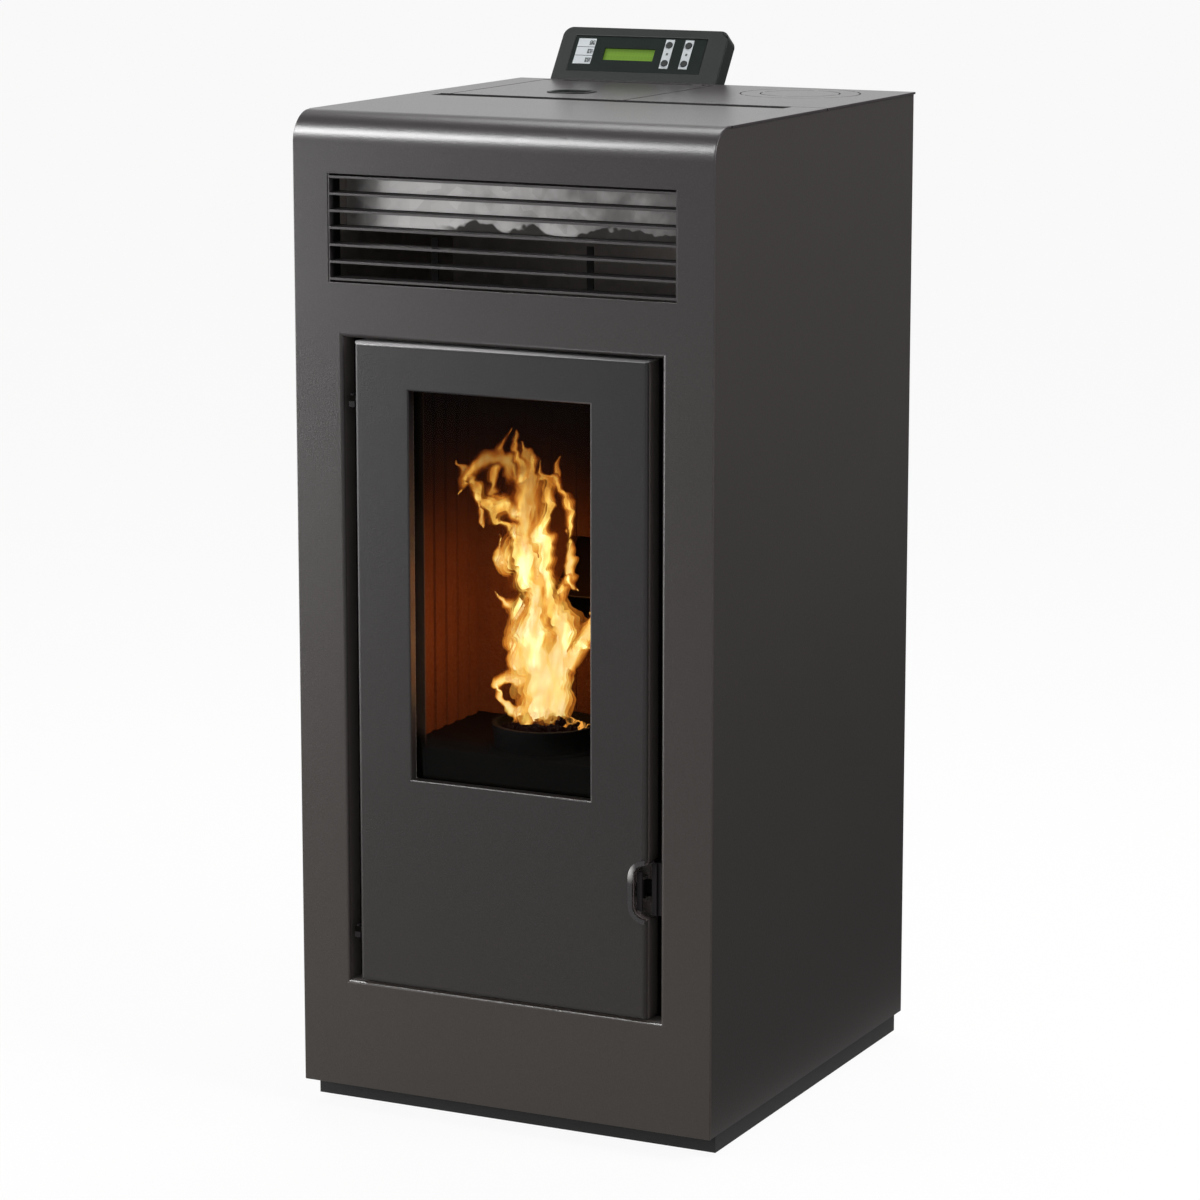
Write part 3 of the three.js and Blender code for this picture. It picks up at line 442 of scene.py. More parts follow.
casing_paint = grained_paint(
    "casing_paint", (0.036, 0.031, 0.033), (0.056, 0.046, 0.039), 0.31, COAT_GRAIN, 0.44,
    [(PAINTED_SHADE_BLACK, 1.0, slot_painted_shadow), (PAINTED_GAP_LIGHT, 0.0, opening_painted_light)])
# The sides take a darker copy of the casing's coat, darker again towards the floor: painted shade, for the
# light that reaches them less.
shaded_side_paint = grained_paint("shaded_side_paint", (0.034, 0.029, 0.029), (0.024, 0.0215, 0.0205), 0.42, COAT_GRAIN)
coat(shaded_side_paint, "left_side_panel", "right_side_panel")


def side_bend(start, end):
    """The outer edge of the bent front at either side, from the floor up and over the round."""
    for spot in (start, end):
        reach = math.hypot(spot.y - front_low.y - TOP_ROUND, spot.z - front_high.z + TOP_ROUND)
        on_front = spot.y < front_low.y + TOUCHING
        on_top = spot.z > front_high.z - TOUCHING
        on_round = spot.y < front_low.y + TOP_ROUND + TOUCHING and reach > TOP_ROUND - 0.0005
        if not (on_front or on_top or on_round):
            return False
    return abs(abs(start.x) - CASING_HALF) < TOUCHING and abs(start.x - end.x) < TOUCHING


eased("front_panel", "front_sheet", "casing", casing_paint, 0.0005,
      rounded=side_bend, radius=0.0022)
grille_paint = grained_paint(
    "grille_paint", (0.037, 0.032, 0.034), (0.050, 0.041, 0.035), 0.40, COAT_GRAIN, 0.44,
    [(PAINTED_SHADE_BLACK, 1.0, slat_painted_shade)])
eased("air_grille", "grille_slats", "casing", grille_paint, 0.0003)
eased("top_plate", "top_sheet", "casing", casing_paint, 0.0004)
eased("hopper_lid", "lid_sheet", "lid", casing_paint, 0.0005)

# ---------------------------------------------------------------------------------------------
# The back, the set-back base and the fan's housing: thin sheet in matt black stove paint, which is
# dull and slightly dusty. The louvres in the back are plain laser-cut slots.


def stove_black(name, colour, roughness, grain):
    black = new_finish(name)
    place = black.place()
    fine = black.speckle(place, 420.0, 3.0, 0.6)
    dust = black.speckle(place, 12.0, 4.0, 0.6)
    tone = 0.75 + fine * 0.3 + dust.fade(0.45, 0.8) * 0.5
    return black.principled(
        Base_Color=black.dim(colour, tone), Roughness=roughness + (dust - 0.5) * 0.2,
        Specular_IOR_Level=0.35, Normal=black.bump(fine, grain))


black_paint = stove_black("black_paint", (0.014, 0.013, 0.013), 0.62, 0.00025)
chamber_paint = stove_black("chamber_paint", (0.050, 0.045, 0.043), 0.7, 0.00025)
coat(chamber_paint, "firebox_body")
coat(black_paint, "back_panel", "base_pan", "intake_pipe", "exhaust_fan_housing", "panel_bracket")
sooty_brown = stove_black("sooty_brown", (0.075, 0.042, 0.025), 0.8, 0.00025)
coat(sooty_brown, "door_inner_frame")

# ---------------------------------------------------------------------------------------------
# Galvanised sheet and drawn steel: the hot dip leaves a faint spangle of crystals, each a little
# lighter or darker than the next. The ducts, the hopper and the baffle behind the grille are left in
# this bright finish, and heat has dulled the air duct. The baffle is painted darker towards its right
# as painted shade, and near black along a ragged foot.


def galvanised_sheet(name, colour, roughness, spangle, darkening=None):
    """The optional mask function takes x, z and a cloudy pattern and gives where the sheet is painted dark.
    """
    zinc = new_finish(name)
    place = zinc.place()
    crystal = zinc.along(zinc.cells(place, spangle, "Color"))[0]
    cloudy = zinc.speckle(place, 9.0, 3.0)
    tone = 0.78 + crystal * 0.22 + (cloudy - 0.5) * 0.35
    base = zinc.dim(colour, tone)
    if darkening:
        x, _, z = zinc.along(place)
        base = zinc.mix(darkening(x, z, zinc.speckle(place, 22.0, 3.0, 0.6)), base, (0.012, 0.010, 0.009))
    return zinc.principled(
        Base_Color=base, Metallic=0.9, Roughness=roughness + crystal * 0.12,
        Normal=zinc.bump(crystal * 0.5 + cloudy * 0.5, 0.0003, 0.4))


def drawn_steel(name, colour, roughness, stretch):
    steel = new_finish(name)
    streak = steel.speckle(steel.place((0.0, 0.0, 0.0), stretch=stretch), 300.0, 3.0)
    smudge = steel.speckle(steel.place(), 30.0, 2.0)
    tone = 0.82 + streak * 0.25 + (smudge - 0.5) * 0.2
    return steel.principled(
        Base_Color=steel.dim(colour, tone), Metallic=1.0,
        Roughness=roughness + streak * 0.12, Normal=steel.bump(streak, 0.0001, 0.5))


def baffle_darkening(x, z, cloud):
    """Painted shade that grows cloudy to the right, and a near-black band with a ragged edge along the foot.
    """
    cloudy = (x + 0.13) * 2.4 + (cloud - 0.5) * 1.3
    ragged = 0.994 - z + (cloud - 0.5) * 0.045
    return (cloudy.fade(0.0, 0.9) * 0.70).most(ragged.fade(0.0, 0.004) * x.fade(-0.10, -0.07) * 0.95)


galvanised = galvanised_sheet("galvanised", (0.42, 0.41, 0.40), 0.34, 110.0)
baffle_sheet = galvanised_sheet("baffle_sheet", (0.40, 0.39, 0.385), 0.36, 60.0, baffle_darkening)
sooty_zinc = galvanised_sheet("sooty_zinc", (0.30, 0.27, 0.25), 0.5, 80.0)
bright_steel = drawn_steel("bright_steel", (0.45, 0.45, 0.46), 0.28, (1.0, 12.0, 1.0))
coat(baffle_sheet, "air_baffle")
coat(sooty_zinc, "air_duct")
coat(galvanised, "smoke_duct", "flue_spigot", "room_fan_housing", "hopper", "ash_pan")
blued_steel = drawn_steel("blued_steel", (0.030, 0.024, 0.022), 0.5, (1.0, 1.0, 12.0))
coat(blued_steel, "glass_clamp", "auger_tube")
coat(bright_steel, "igniter", "exhaust_fan_wheel", "auger_screw")

# ---------------------------------------------------------------------------------------------
# The fire door: a deep-drawn pan with a soft round all along its edge, in a satin coat a little
# darker than the casing. The grip is a small die-cast cup in gloss enamel let into its right edge.
# The top edge of the pan and the upper left of the cup's rim carry painted highlights. Paler paint
# lifts the shade deep in the cup and on the walls of the gaps beside the door, and the hinge lugs are
# painted near black as painted shade.

door_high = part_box("door_pan")[1]
DOOR_HALF = 0.175
# Pale coat for the painted highlight on the door's upper edge.
PAINTED_HIGHLIGHT_PALE = (0.60, 0.59, 0.60)


def gap_wall_painted_light(x, y, z):
    """Painted light: a paler colour on the door's right wall behind the front sheet, which lifts the shade
    in the gap.
    """
    return x.above(DOOR_HALF - 0.001) * y.above(front_low.y + 0.002)


def top_edge_painted_highlight(x, y, z):
    """A painted highlight on the upper edge and top face, brightest at the left, away from the grip."""
    return z.above(door_high.z - 0.0022) * (1.0 - x.fade(-0.12, 0.18) * 0.7)


def lug_painted_shade(x, y, z):
    """Painted shade: the lugs that the door turns on, left of its wall, are near black so that they sink
    into the shade of the gap.
    """
    return x.below(-DOOR_HALF - 0.0001)


door_paint = grained_paint(
    "door_paint", (0.017, 0.016, 0.018), (0.035, 0.030, 0.027), 0.33, COAT_GRAIN, 0.36,
    [(PAINTED_GAP_LIGHT, 0.0, gap_wall_painted_light), (PAINTED_HIGHLIGHT_PALE, 0.0, top_edge_painted_highlight), (PAINTED_SHADE_BLACK, 1.0, lug_painted_shade)])
eased("door_pan", "door_skin", "door", door_paint, 0.0005)


def gloss_enamel(name, colour, roughness, deep_painted_light=None, painted_highlight=None, shine=0.5, lacquer=0.4):
    """The first mask paints light deep down, a paler colour against the shade there, and the second a
    painted highlight; both are functions of x, y and z.
    """
    enamel = new_finish(name)
    place = enamel.place()
    peel = enamel.speckle(place, 260.0, 2.0)
    base = enamel.dim(colour, 0.9 + peel * 0.2)
    if deep_painted_light:
        base = enamel.mix(deep_painted_light(*enamel.along(place)), base, (0.130, 0.108, 0.104))
    if painted_highlight:
        base = enamel.mix(painted_highlight(*enamel.along(place)), base, (0.90, 0.88, 0.86))
    return enamel.principled(
        Base_Color=base, Roughness=roughness + peel * 0.06, Specular_IOR_Level=shine, Coat_Weight=lacquer,
        Coat_Roughness=0.15, Normal=enamel.bump(peel, 0.0001, 0.5))


grip_low, grip_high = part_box("grip_cup")


# Painted light: the cup turns paler deeper in, against the shade of its hollow.
def cup_painted_light(x, y, z):
    return y.fade(grip_low.y + 0.001, grip_low.y + 0.005)


def rim_painted_highlight(x, y, z):
    """A soft painted highlight on the rim, at its upper left."""
    off_left = x.fade(grip_low.x + 0.001, grip_low.x + 0.010)
    off_middle = (z - grip_high.z + 0.012).size().fade(0.0, 0.016)
    return y.below(grip_low.y + 0.003) * (1.0 - off_left) * (1.0 - off_middle) * 0.9


grip_enamel = gloss_enamel("grip_enamel", (0.022, 0.019, 0.019), 0.24, cup_painted_light, rim_painted_highlight)
eased("grip_cup", "grip_shell", "door", grip_enamel, 0.0006, 3)
latch_black = gloss_enamel("latch_black", (0.010, 0.008, 0.008), 0.6, shine=0.15, lacquer=0.0)
coat(latch_black, "latch_lever", "latch_keeper", "hinge_bracket_lower", "hinge_bracket_upper")


def fire_glass():
    """Clear in the middle, with a soot film that grows thick low down and towards the top left."""
    glass = new_finish("fire_glass")
    place = glass.place()
    x, _, z = glass.along(place)
    film = glass.speckle(place, 14.0, 3.0)
    uneven = (film - 0.5) * 0.04
    low_soot = 1.0 - (z + uneven).fade(0.410, 0.450)
    high_soot = (z + uneven - x * 0.3).fade(0.62, 0.80)
    smoke = 0.06 + film.fade(0.35, 0.8) * 0.06 + (low_soot * 0.82 + high_soot * 0.40)
    return glass.principled(
        Base_Color=(0.002, 0.0015, 0.001), Roughness=0.05, Specular_IOR_Level=0.08, Alpha=smoke.least(0.92))


coat(fire_glass(), "door_glass")

# ---------------------------------------------------------------------------------------------
# The seals: the door's rope is braided glass fibre glued into the frame's corner, the glass lies
# on a flat woven tape, and the lid closes on a strip of soft foam rubber. All three are pale or
# black ropes with rounded edges, so each is a closed loop swept along its frame.


def braid(name, light, dark, pitch):
    """Crossing strands, with a repeat of pitch metres, and a fuzz of loose fibre."""
    rope = new_finish(name)
    x, y, z = rope.along(rope.place())
    turn = math.tau / pitch
    strands = ((x + z + y) * turn).wave() * ((x - z + y) * turn).wave()
    fuzz = rope.speckle(rope.place(), 900.0, 2.0)
    relief = strands.fade(-1.0, 1.0) * 0.8 + fuzz * 0.2
    return rope.principled(
        Base_Color=rope.mix(relief, dark, light), Roughness=0.95, Specular_IOR_Level=0.2,
        Normal=rope.bump(relief, 0.0008))


CORNER_STEPS = 6
ROPE_SIDES = 16


def bent_loop(low, high, half, corner):
    """The middle line of a strip round a frame, as (u, v) points with its four corners rounded."""
    near, far = [edge + half for edge in low], [edge - half for edge in high]
    turns = [(far[0], far[1]), (near[0], far[1]), (near[0], near[1]), (far[0], near[1])]
    loop = []
    for quarter, (u, v) in enumerate(turns):
        centre_u = u - math.copysign(corner, u - near[0] - 1e-6)
        centre_v = v - math.copysign(corner, v - near[1] - 1e-6)
        for step in range(CORNER_STEPS + 1):
            angle = math.pi / 2 * (quarter + step / CORNER_STEPS)
            loop.append((centre_u + corner * math.cos(angle), centre_v + corner * math.sin(angle)))
    return loop


def squared(value, squash):
    return math.copysign(abs(value) ** squash, value)


def soft_frame(node, name, body, material, width, squash):
    """A closed loop of round-edged strip that fills the box of a frame-shaped node."""
    low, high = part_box(node)
    flat = min(range(3), key=lambda axis: high[axis] - low[axis])
    across = [axis for axis in range(3) if axis != flat]
    half = width / 2
    thick = (high[flat] - low[flat]) / 2
    middle = (low[flat] + high[flat]) / 2
    loop = bent_loop([low[axis] for axis in across], [high[axis] for axis in across], half, half * 1.4)
    mesh = bmesh.new()
    rings = []
    for index, (u, v) in enumerate(loop):
        before, after = loop[index - 1], loop[(index + 1) % len(loop)]
        outward = Vector((after[1] - before[1], before[0] - after[0])).normalized()
        ring = []
        for side in range(ROPE_SIDES):
            angle = math.tau * side / ROPE_SIDES
            reach = squared(math.cos(angle), squash) * half
            depth = squared(math.sin(angle), squash) * thick
            point = [0.0, 0.0, 0.0]
            point[across[0]] = u + outward[0] * reach
            point[across[1]] = v + outward[1] * reach
            point[flat] = middle + depth
            ring.append(mesh.verts.new(point))
        rings.append(ring)
    for first, second in zip(rings, rings[1:] + rings[:1]):
        for side in range(ROPE_SIDES):
            mesh.faces.new((first[side], first[side - 1], second[side - 1], second[side]))
    bmesh.ops.recalc_face_normals(mesh, faces=mesh.faces)
    data = bpy.data.meshes.new(name)
    mesh.to_mesh(data)
    mesh.free()
    piece = bpy.data.objects.new(name, data)
    bpy.context.scene.collection.objects.link(piece)
    finished(piece, name, body, material, 60.0)
    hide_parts(node)


glass_rope = braid("glass_rope", (0.30, 0.28, 0.25), (0.10, 0.09, 0.085), 0.011)
black_foam = braid("black_foam", (0.014, 0.014, 0.014), (0.008, 0.008, 0.008), 0.002)
soft_frame("door_rope_seal", "rope_seal", "door", glass_rope, 0.011, 0.8)
soft_frame("glass_gasket", "glass_tape", "door", glass_rope, 0.014, 0.4)
soft_frame("lid_seal", "foam_strip", "lid", black_foam, 0.008, 0.5)

# ---------------------------------------------------------------------------------------------
# The fire chamber: pressed vermiculite boards that have gone brown and sooty, over a rough iron
# cradle plate and pot. The boards keep cleaner low down and in the left corner, by the fire, where
# they glow a little, in place of the fire's light that many bounces would bring there.

FIRE_LIT_BOARD = (0.030, 0.0062, 0.0016)


def vermiculite_board():
    board = new_finish("vermiculite")
    place = board.place()
    x, y, z = board.along(place)
    grit = board.cells(place, 340.0)
    flecks = board.speckle(place, 220.0, 4.0, 0.7)
    streaks = board.speckle(board.place((0.0, 0.0, 0.0), stretch=(1.0, 1.0, 7.0)), 60.0, 3.0)
    soot = z.fade(0.56, 0.80) * 0.85 + streaks * 0.3 + x.fade(-0.10, 0.10) * 0.45
    clean = board.mix(flecks, (0.075, 0.026, 0.009), (0.19, 0.080, 0.030))
    # Painted light: a faint emission, strongest low on the left, in place of the fire's bounced light.
    painted_fire_light = (1.0 - x.fade(-0.11, 0.04)) * (1.0 - z.fade(0.56, 0.80)) * (0.75 + streaks * 0.5)
    return board.principled(
        Base_Color=board.mix(soot.least(0.97), clean, (0.012, 0.007, 0.005)), Roughness=0.95,
        Emission_Color=board.mix(painted_fire_light, (0.0, 0.0, 0.0), FIRE_LIT_BOARD), Emission_Strength=1.0,
        Specular_IOR_Level=0.1, Normal=board.bump(grit * 0.5 + flecks * 0.5, 0.0012))


def rough_iron():
    iron = new_finish("cast_iron")
    place = iron.place()
    pits = iron.speckle(place, 160.0, 5.0, 0.65)
    rust = iron.speckle(place, 34.0, 3.0).fade(0.52, 0.8)
    colour = iron.mix(rust * 0.6, (0.005, 0.0045, 0.0045), (0.014, 0.007, 0.004))
    return iron.principled(
        Base_Color=iron.dim(colour, 0.7 + pits * 0.6), Metallic=0.2, Roughness=0.72 + pits * 0.2,
        Specular_IOR_Level=0.12, Normal=iron.bump(pits, 0.0009))


vermiculite = vermiculite_board()
cast_iron = rough_iron()
coat(vermiculite, "left_liner", "right_liner", "back_liner", "baffle_plate")
coat(cast_iron, "pot_cradle")
eased("burn_pot", "iron_pot", "pot", cast_iron, 0.0008)

# ---------------------------------------------------------------------------------------------
# The fire: glowing pellets heaped in the pot, and tongues of flame that lean left, twist and curl
# over at the top. Each tongue is a tapering closed body on a wandering line. All the tongues are
# fused to one skin, and five such skins lie in each other from a thin veil to a pale yellow core.

pot_low, pot_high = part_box("burn_pot")
FIRE_Y = (pot_low.y + pot_high.y) / 2
FLAME_CELL = 0.0022
FLAME_TIP = 0.9
GLOW_RADIUS = 0.09
dice = random.Random(7)

# Each tongue's line, from its foot to its tip: x, z and the radius there, in millimetres.
TONGUES = [
    [(-6, 440, 27), (-4, 466, 27), (-6, 494, 26), (-10, 520, 29), (-10, 546, 27), (-10, 568, 21),
     (-10, 588, 17), (-18, 608, 22), (-28, 630, 24), (-24, 650, 18), (-18, 670, 16), (-18, 692, 17),
     (-14, 714, 14), (-14, 736, 8), (-24, 756, 1)],
    [(8, 440, 22), (10, 472, 19), (12, 502, 20), (16, 530, 21), (18, 552, 18), (8, 576, 14),
     (0, 600, 12), (-6, 624, 13), (-6, 652, 12), (-4, 682, 10), (0, 708, 9), (-2, 732, 1)],
    [(24, 502, 11), (36, 522, 13), (44, 542, 13), (52, 558, 8), (56, 572, 1)],
    [(40, 532, 9), (50, 536, 7), (56, 526, 1)],
    [(-30, 450, 7), (-46, 448, 6), (-60, 455, 6), (-67, 468, 6), (-60, 482, 7), (-46, 487, 8),
     (-28, 484, 9)],
    [(-26, 504, 14), (-38, 524, 14), (-45, 546, 13), (-41, 568, 11), (-30, 590, 2)],
    [(-46, 568, 8), (-56, 576, 5), (-60, 588, 1)],
    [(-18, 594, 13), (-36, 610, 15), (-51, 620, 11), (-61, 628, 6), (-66, 644, 1)],
    [(-30, 642, 13), (-44, 646, 10), (-53, 654, 6), (-58, 668, 1)],
    [(-24, 664, 12), (-42, 672, 13), (-60, 678, 14), (-78, 686, 13), (-94, 696, 10), (-105, 710, 6),
     (-111, 726, 1)],
    [(-24, 708, 11), (-40, 726, 10), (-56, 733, 11), (-72, 728, 10), (-86, 717, 10), (-97, 704, 7)],
    [(-56, 730, 9), (-54, 748, 6), (-49, 763, 1)],
    [(-96, 702, 8), (-108, 695, 5), (-115, 684, 1)],
    [(-72, 688, 11), (-80, 706, 9), (-70, 724, 8)],
    [(-62, 676, 10), (-54, 662, 7), (-48, 646, 1)],
    [(-76, 684, 8), (-72, 668, 5), (-64, 656, 1)],
    [(-4, 714, 10), (8, 710, 9), (18, 698, 9), (26, 678, 8), (30, 662, 6), (32, 646, 1)],
    [(8, 708, 7), (14, 724, 5), (10, 740, 1)],
    [(14, 586, 9), (28, 604, 9), (33, 624, 8), (31, 644, 6), (25, 664, 1)],
    [(34, 612, 6), (42, 606, 5), (48, 594, 1)],
    [(-14, 714, 9), (-24, 736, 7), (-28, 754, 5), (-30, 768, 1)],
]
# The nested skins of the fire, from the thin veil outside to the hot core. Each has how full the
# tongues are in it, its heat from 0 to 1, how solid its gaps and its licks are, and its brightness.
SKINS = [
    ("flame_veil", 1.00, 0.26, 0.01, 0.26, 1.0),
    ("flame_fringe", 0.82, 0.42, 0.02, 0.36, 1.1),
    ("flame_body", 0.64, 0.60, 0.04, 0.48, 1.4),
    ("flame_heart", 0.46, 0.76, 0.10, 0.64, 1.7),
    ("flame_core", 0.28, 0.92, 0.30, 0.85, 2.1),
]
# The flame's colour at a heat from 0 to 1, from deep red to pale yellow.
HEAT = [(0.00, (0.100, 0.012, 0.001)), (0.30, (0.500, 0.100, 0.010)), (0.55, (0.950, 0.330, 0.036)),
        (0.75, (1.000, 0.640, 0.120)), (0.90, (1.000, 0.900, 0.330)), (1.00, (1.000, 0.970, 0.560))]


def flame_finish(name, warmth, gaps, licked, power):
    flame = new_finish(name)
    licks = flame.speckle(flame.place((0.0, 0.0, 0.0), (0.0, 0.25, 0.0), (1.0, 1.0, 2.2)), 48.0, 1.5, 0.5)
    streaks = flame.speckle(flame.place((0.013, 0.0, 0.0), stretch=(1.0, 1.0, 5.0)), 150.0, 1.0)
    height = flame.along(flame.place())[2]
    low = 1.0 - height.fade(0.46, 0.62)
    pattern = licks * 0.75 + streaks * 0.25
    heat = warmth + (pattern - 0.5) * 1.5 + low * 0.18 - height.fade(0.62, 0.74) * 0.26
    colour = flame.node("ShaderNodeValToRGB", {"stops": HEAT}, {"Fac": heat.most(0.0).least(1.0)})
    solid = (pattern + low * 0.09).fade(0.42, 0.60)
    return flame.principled(
        Base_Color=(0.0, 0.0, 0.0), Roughness=1.0, Specular_IOR_Level=0.0, Emission_Color=colour,
        Emission_Strength=power, Alpha=gaps + solid * (licked - gaps))


def wandering_lines():
    """The tongues' lines with their depth, drawn once, so that all the skins lie in each other."""
    lines = []
    for points in TONGUES:
        depth = dice.uniform(-16.0, 16.0)
        lines.append([(x, FIRE_Y * 1000 + depth + dice.uniform(-5.0, 5.0), z, r) for x, z, r in points])
    return lines


def tongue(line, full):
    """One tongue as a mesh: a round body of the line's radius along a smooth curve."""
    curve = bpy.data.curves.new("tongue", "CURVE")
    curve.dimensions = "3D"
    curve.bevel_depth = 0.001
    curve.bevel_resolution = 3
    curve.use_fill_caps = True
    spline = curve.splines.new("NURBS")
    spline.points.add(len(line) - 1)
    for point, (x, y, z, radius) in zip(spline.points, line):
        point.co = (x / 1000, y / 1000, z / 1000, 1.0)
        point.radius = max(radius * full, FLAME_TIP)
    spline.use_endpoint_u = True
    spline.order_u = 3
    spline.resolution_u = 6
    piece = bpy.data.objects.new("tongue", curve)
    bpy.context.scene.collection.objects.link(piece)
    active(piece)
    bpy.ops.object.convert(target="MESH")
    return bpy.context.object


def flame_skin(name, full, lines, material):
    """The tongues at one fullness, fused to one closed skin and roughed up by two cloud patterns."""
    tongues = [tongue(line, full) for line in lines]
    bpy.ops.object.select_all(action="DESELECT")
    for piece in tongues:
        piece.select_set(True)
    bpy.context.view_layer.objects.active = tongues[0]
    bpy.ops.object.join()
    skin = bpy.context.object
    skin.name = name
    fuse = skin.modifiers.new("fuse", "REMESH")
    fuse.mode = "VOXEL"
    fuse.voxel_size = FLAME_CELL
    for scale, strength in ((0.034, 0.020), (0.014, 0.009)):
        clouds = bpy.data.textures.new(name, "CLOUDS")
        clouds.noise_scale = scale
        clouds.noise_depth = 1
        for axis in ("X", "Y", "Z"):
            ripple = skin.modifiers.new("ripple_" + axis, "DISPLACE")
            ripple.texture = clouds
            ripple.texture_coords = "GLOBAL"
            ripple.direction = axis
            ripple.strength = strength
            ripple.mid_level = 0.5
    apply_modifiers(skin)
    finished(skin, name, "pot", material, 180.0)


fire_lines = wandering_lines()
for skin_name, fullness, warmth, gaps, licked, power in SKINS:
    flame_skin(skin_name, fullness, fire_lines, flame_finish(skin_name, warmth, gaps, licked, power))


def ember_finish():
    ember = new_finish("ember")
    place = ember.place()
    depth = ember.along(place)[1]
    heat = ember.speckle(place, 90.0, 2.0).fade(0.42, 0.62) * depth.fade(FIRE_Y - 0.008, FIRE_Y + 0.016)
    return ember.principled(
        Base_Color=(0.006, 0.004, 0.003), Roughness=0.9, Specular_IOR_Level=0.1,
        Emission_Color=ember.mix(heat, (0.002, 0.0, 0.0), (1.0, 0.42, 0.07)), Emission_Strength=1.1)


PELLETS = 260
PELLET_RADIUS = 0.003
HEAP_RADIUS = 0.050
HEAP_FOOT = 0.428
HEAP_RISE = 0.024


def ember_bed():
    """Pellets 6 mm thick and 8 to 16 mm long, dropped in a heap in the pot. Only its back glows."""
    pellets = []
    for _ in range(PELLETS):
        angle, reach = dice.uniform(0.0, math.tau), HEAP_RADIUS * math.sqrt(dice.random())
        height = HEAP_FOOT + HEAP_RISE * (1.0 - (reach / HEAP_RADIUS) ** 2) - 0.008 * dice.random()
        place = (reach * math.cos(angle), FIRE_Y + reach * math.sin(angle), height)
        bpy.ops.mesh.primitive_cylinder_add(
            vertices=8, radius=PELLET_RADIUS, depth=dice.uniform(0.008, 0.016), location=place,
            rotation=(math.pi / 2 + dice.uniform(-0.5, 0.5), 0.0, dice.uniform(0.0, math.tau)))
        pellets.append(bpy.context.object)
    bpy.ops.object.select_all(action="DESELECT")
    for pellet in pellets:
        pellet.select_set(True)
    bpy.context.view_layer.objects.active = pellets[0]
    bpy.ops.object.join()
    return finished(bpy.context.object, "ember_bed", "pot", ember_finish(), 40.0)


ember_bed()


def fire_glow(name, place, power):
    """The light that a part of the fire casts on the chamber."""
    lamp = bpy.data.lights.new(name, "POINT")
    lamp.energy = power
    lamp.color = (1.0, 0.26, 0.05)
    lamp.shadow_soft_size = GLOW_RADIUS
    glow = bpy.data.objects.new(name, lamp)
    bpy.context.scene.collection.objects.link(glow)
    glow.location = place


fire_glow("low_glow", (-0.02, FIRE_Y, 0.53), 0.75)
fire_glow("high_glow", (-0.03, FIRE_Y, 0.66), 0.3)

# ---------------------------------------------------------------------------------------------
# The control panel: a moulded housing in fine-textured plastic that leans back over the rear edge.
# Its printed film has white fields with plain marks and a white strip under each pair of keys, and
# its two-line display is backlit.

PANEL_X = -0.1055
PANEL_GAP = 0.0003
PANEL_PLACE = (PANEL_X, front_low.y + CASING_DEPTH + PANEL_GAP, CASING_TOP)
PANEL_TURN = (math.radians(-35.0), 0.0, 0.0)
KEY_COLUMNS = (0.034, 0.059)
DISPLAY_LEFT = -0.048
DISPLAY_FOOT = 0.0300
DISPLAY_TOP = 0.045


def moulded_plastic(name, colour, roughness, grain):
    plastic = new_finish(name)
    place = plastic.place()
    spark = plastic.speckle(place, 1100.0, 2.0)
    wear = plastic.speckle(place, 25.0, 2.0)
    tone = 0.85 + spark * 0.2 + (wear - 0.5) * 0.15
    return plastic.principled(
        Base_Color=plastic.dim(colour, tone), Roughness=roughness + (wear - 0.5) * 0.12,
        Specular_IOR_Level=0.2, Normal=plastic.bump(spark, grain))


def panel_film():
    """Dark film with three white fields at the left, each with a mark, and a white strip under each
    pair of keys, with a small symbol between them. The marks are no letters."""
    film = new_finish("panel_film")
    place = film.place(PANEL_PLACE, PANEL_TURN)
    x, _, z = film.along(place)
    rows = ((z - 0.0220) / 0.0117).rest(1.0)
    legend = x.within(-0.0735, 0.0115) * z.within(0.0397, 0.0177) * rows.within(0.5, 0.47)
    mark = x.within(-0.0665, 0.0036) * rows.within(0.5, 0.27)
    glyph = film.cells(place, 700.0).fade(0.35, 0.42)
    first, second = KEY_COLUMNS
    strips = (x.within(first, 0.0056) + x.within(second, 0.0056)) * z.within(0.0388, 0.0196)
    symbol = (x.within(first, 0.0013) + x.within(second, 0.0013)) * z.within(0.0388, 0.0016)
    sheen = film.speckle(place, 40.0, 2.0)
    ground = film.mix((z / 0.07).least(1.0), (0.008, 0.014, 0.012), (0.005, 0.012, 0.009))
    white = legend.most(strips)
    dark = (mark * glyph).most(symbol) * white
    printed = film.mix(white * (1.0 - dark * 0.85), ground, (0.62, 0.66, 0.68))
    return film.principled(Base_Color=printed, Roughness=0.30 + sheen * 0.08, Specular_IOR_Level=0.15)


def backlit_display():
    """A green display that is lit from behind, with two lines of faint empty cells. Its light is
    dimmed towards the top and left edges as a painted shadow of the recess it sits in.
    """
    screen = new_finish("display")
    x, _, z = screen.along(screen.place(PANEL_PLACE, PANEL_TURN))
    column = ((x - DISPLAY_LEFT) / 0.0040).rest(1.0).within(0.5, 0.38)
    line = ((z - DISPLAY_FOOT) / 0.0068).rest(1.0).within(0.5, 0.36)
    cell = column * line
    # Painted shadow: less light towards the top and left edges, where the recess would shade the screen.
    edge = (x - DISPLAY_LEFT).fade(0.0, 0.006) * (DISPLAY_TOP - z).fade(0.0, 0.006)
    tone = (0.55 + edge * 0.45) * (1.0 - cell * 0.10)
    glow = screen.dim((0.19, 0.36, 0.035), tone)
    return screen.principled(
        Base_Color=(0.04, 0.07, 0.01), Roughness=0.18, Specular_IOR_Level=0.4, Emission_Color=glow,
        Emission_Strength=0.62)


